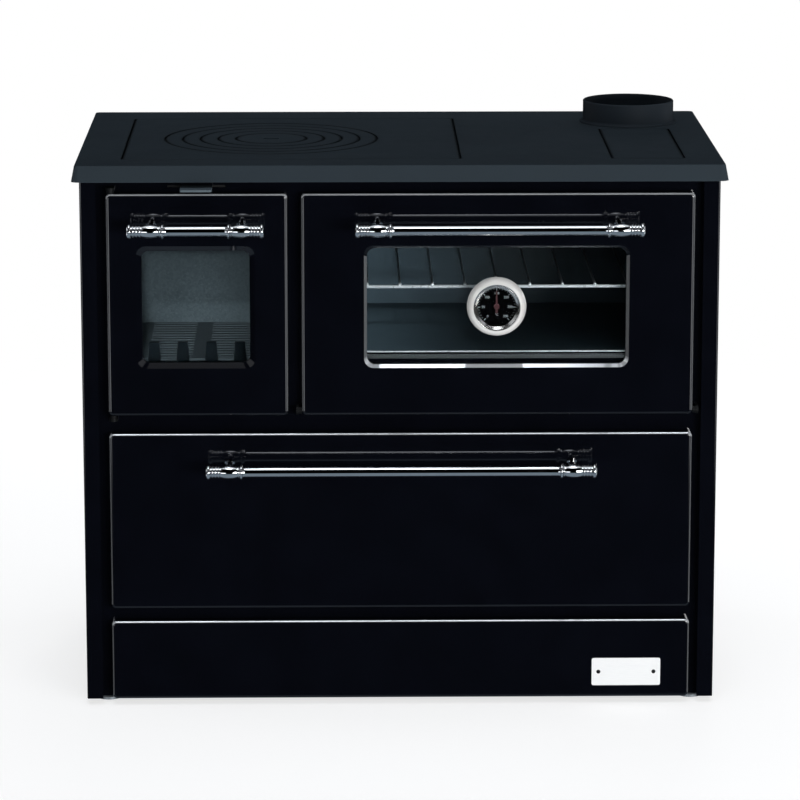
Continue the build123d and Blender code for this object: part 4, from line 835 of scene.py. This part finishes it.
def lay_floor():
    """Matt white floor that turns into a glowing cove away from the stove, and keeps a soft shadow
    near it."""
    material, tree, place = start_finish("white_cove_floor")
    parts = add(tree, "SeparateXYZ", {"Vector": place})
    level = add(tree, "CombineXYZ", {"X": parts.outputs["X"], "Y": parts.outputs["Y"]})
    reach = add(tree, "VectorMath", {0: level.outputs[0]}, operation="LENGTH")
    glow, paint = (add(tree, "MapRange", {"Value": reach.outputs["Value"], "From Min": COVE_START,
                                          "From Max": COVE_END, "To Min": near, "To Max": far},
                       interpolation_type="SMOOTHSTEP").outputs[0]
                   for near, far in (COVE_GLOW, COVE_PAINT))
    grey = add(tree, "CombineColor", {0: paint, 1: paint, 2: paint})
    # No glow under the stove, or it would shine out through the vents.
    under = []
    for axis, half in UNDER_STOVE:
        away = add(tree, "Math", {0: parts.outputs[axis]}, operation="ABSOLUTE")
        over = add(tree, "Math", {0: away.outputs[0], 1: half}, operation="SUBTRACT")
        under.append(over.outputs[0])
    past = add(tree, "Math", {0: under[0], 1: under[1]}, operation="MAXIMUM")
    open_floor = add(tree, "MapRange", {"Value": past.outputs[0], "From Min": -PATCH_BLUR,
                                        "From Max": 0.0})
    shown = add(tree, "Math", {0: glow, 1: open_floor.outputs[0]}, operation="MULTIPLY")
    finished(material, {"Base Color": grey.outputs[0], "Emission Strength": shown.outputs[0],
                        "Emission Color": WHITE, "Roughness": 0.9, "Specular IOR Level": 0.0})
    shape = bmesh.new()
    bmesh.ops.create_grid(shape, x_segments=1, y_segments=1, size=FLOOR_HALF)
    floor = object_from(shape, "floor", material)
    # Neither mirrored nor seen past glass: the panes' rear faces would veil the dark insides.
    floor.visible_glossy = False
    floor.visible_transmission = False


def hang_backdrop():
    """White surround that only the camera sees, so that every view ends in the same paper white."""
    paper = bpy.data.materials.new("paper_white")
    paper.use_nodes = True
    tree = paper.node_tree
    tree.nodes.clear()
    glow = add(tree, "Emission", {"Color": WHITE, "Strength": 1.0})
    add(tree, "OutputMaterial", {"Surface": glow.outputs["Emission"]})
    shape = bmesh.new()
    bmesh.ops.create_uvsphere(shape, u_segments=48, v_segments=24, radius=BACKDROP_RADIUS)
    backdrop = object_from(shape, "backdrop", paper)
    backdrop.visible_diffuse = False
    backdrop.visible_glossy = False
    backdrop.visible_transmission = False
    backdrop.visible_shadow = False


# ---------------------------------------------------------------- light
# Softboxes: place, aim, width and height in metres, watts, and whether the stove mirrors it.
SOFTBOXES = {
    "side_box": ((2.5, -4.7, 0.75), (0, 0, 0.6), 2.6, 0.9, 150, True),
    "front_fill": ((-0.3, -5.0, 2.2), (0, 0, 0.5), 2.4, 1.6, 16, False),
    "rear_fill": ((0.5, 5.0, 2.0), (0, 0, 0.5), 2.4, 1.6, 90, False),
}
# Snoots: place, aim, whole angle of the cone in degrees, softness of its edge, watts, and the nodes
# that it lights. Four shine through a window on what lines the inside, one on the bezel alone.
FIREBOX = ("firebrick_back", "firebrick_left", "firebrick_right", "hearth_plate", "fire_grate")
SNOOTS = {
    "firebox_snoot": ((-0.22, -4.6, 1.45), (-0.31, -0.2, 0.64), 3.4, 0.3, 400, FIREBOX),
    "hearth_snoot": ((-0.31, -4.6, 2.35), (-0.31, -0.1, 0.56), 3.4, 0.3, 340, FIREBOX),
    "oven_back_snoot": ((0.0, -5.0, 1.3), (-0.09, -0.25, 0.66), 4.8, 1.0, 1250, ("oven_liner",)),
    "oven_floor_snoot": ((0.0, -4.6, 2.6), (-0.13, -0.15, 0.58), 5.0, 1.0, 3200, ("oven_liner",)),
    "bezel_snoot": ((-1.2, -5.0, 2.4), (0.147, -0.27, 0.63), 2.0, 0.3, 500, ("thermometer_case",)),
}
SNOOT_SOURCE = 0.12  # radius of its bulb, in metres

# White parts of the studio: strength, then limits in degrees, each from dark to white. "height" is
# above the horizon, "aside" is how far round from the front, on either hand.
STUDIO_WHITES = (
    # ceiling
    (0.9, (("height", 58, 70),)),
    # strip over the front
    (5.0, (("height", 65, 67), ("aside", 40, 30))),
    # side panels
    (0.5, (("aside", 34, 40), ("aside", 72, 66), ("height", 8, 14), ("height", 46, 40))),
    # low strips on either hand of the front
    (3.0, (("aside", 12, 15), ("aside", 38, 34), ("height", 0, -4), ("height", -13.5, -12))),
    # edge strips just behind the sides
    (3.0, (("aside", 97, 100), ("aside", 122, 116), ("height", -30, -24), ("height", 24, 16))),
)
GREY_GROUND = (0.28, (("height", -19, -24),))


def hang(lamp, at, aim, mirrored):
    """Hangs a lamp in the studio, turned to its aim and out of the camera's sight."""
    holder = bpy.data.objects.new(lamp.name, lamp)
    bpy.context.scene.collection.objects.link(holder)
    holder.location = at
    holder.rotation_euler = (Vector(aim) - Vector(at)).to_track_quat("-Z", "Y").to_euler()
    holder.visible_camera = False
    holder.visible_glossy = mirrored
    return holder


def softbox(name, at, aim, width, height, power, mirrored):
    """Rectangular lamp on the whole stove."""
    lamp = bpy.data.lights.new(name, "AREA")
    lamp.shape = "RECTANGLE"
    lamp.size = width
    lamp.size_y = height
    lamp.energy = power
    hang(lamp, at, aim, mirrored)


def snoot(name, at, aim, cone, softness, power, lit):
    """Narrow lamp on a few nodes alone."""
    lamp = bpy.data.lights.new(name, "SPOT")
    lamp.spot_size = math.radians(cone)
    lamp.spot_blend = softness
    lamp.shadow_soft_size = SNOOT_SOURCE
    lamp.energy = power
    lining = bpy.data.collections.new(name + "_lining")
    for node in lit:
        lining.objects.link(frame["nodes"][node])
    hang(lamp, at, aim, mirrored=False).light_linking.receiver_collection = lining


def held_within(tree, angles, strength, limits):
    """The strength where every limit is met, and 0 past any of them."""
    for angle, dark, white in limits:
        met = add(tree, "MapRange", {"Value": angles[angle], "From Min": math.radians(dark),
                                     "From Max": math.radians(white)},
                  interpolation_type="SMOOTHSTEP")
        held = add(tree, "Math", {0: met.outputs[0], 1: strength}, operation="MULTIPLY")
        strength = held.outputs[0]
    return strength


def light_room():
    """Studio round the stove: white ceiling, side panels and edge strips, black low down in front
    of each face so that the flat black sheets mirror nothing, and a grey ground below."""
    world = bpy.data.worlds.new("studio")
    bpy.context.scene.world = world
    world.use_nodes = True
    tree = world.node_tree
    tree.nodes.clear()
    way = add(tree, "SeparateXYZ", {"Vector": add(tree, "TexCoord").outputs["Generated"]})
    height = add(tree, "Math", {0: way.outputs["Z"]}, operation="ARCSINE")
    front = add(tree, "Math", {0: way.outputs["Y"], 1: -1.0}, operation="MULTIPLY")
    bearing = add(tree, "Math", {0: way.outputs["X"], 1: front.outputs[0]}, operation="ARCTAN2")
    aside = add(tree, "Math", {0: bearing.outputs[0]}, operation="ABSOLUTE")
    angles = {"height": height.outputs[0], "aside": aside.outputs[0]}
    whites = [held_within(tree, angles, *white) for white in STUDIO_WHITES]
    total = whites[0]
    for white in whites[1:]:
        total = add(tree, "Math", {0: total, 1: white}, operation="ADD").outputs[0]
    glow = add(tree, "Background", {"Color": linear("f6f9ff"), "Strength": total})
    bounce = add(tree, "Background", {"Color": linear("d8ecff"),
                                      "Strength": held_within(tree, angles, *GREY_GROUND)})
    both = add(tree, "AddShader", {0: glow.outputs["Background"], 1: bounce.outputs["Background"]})
    add(tree, "OutputWorld", {"Surface": both.outputs["Shader"]})
    for name, settings in SOFTBOXES.items():
        softbox(name, *settings)
    for name, settings in SNOOTS.items():
        snoot(name, *settings)


# ---------------------------------------------------------------- camera
CAMERA_AT = (-0.0988, -6.2965, 1.7701)
CAMERA_DIP, CAMERA_SWING = 0.2098, 0.0163  # radians down from level, and right from straight ahead
LENS_MM, SENSOR_MM, FARTHEST = 180.7, 36.0, 100.0


def place_camera():
    """Long lens at the photograph's viewing angle."""
    lens = bpy.data.cameras.new("camera")
    lens.lens = LENS_MM
    lens.sensor_width = SENSOR_MM
    lens.clip_end = FARTHEST
    camera = bpy.data.objects.new("camera", lens)
    bpy.context.scene.collection.objects.link(camera)
    camera.location = CAMERA_AT
    camera.rotation_euler = (QUARTER_TURN - CAMERA_DIP, 0.0, -CAMERA_SWING)
    bpy.context.scene.camera = camera


# ---------------------------------------------------------------- the stove in its studio
dress_cad_nodes()
name_plate()
thermometer_scale()
oven_lip()
rope_seal("fire_door_gasket", "fire_door_rope", "fire_door", 16 * MM)
rope_seal("oven_door_gasket", "oven_door_rope", "oven_door", 17 * MM)
back_screws()
liner_screws("fire_door_liner", "fire_door")
liner_screws("oven_door_liner", "oven_door")

bpy.context.scene.view_settings.view_transform = "Standard"
lay_floor()
hang_backdrop()
light_room()
place_camera()
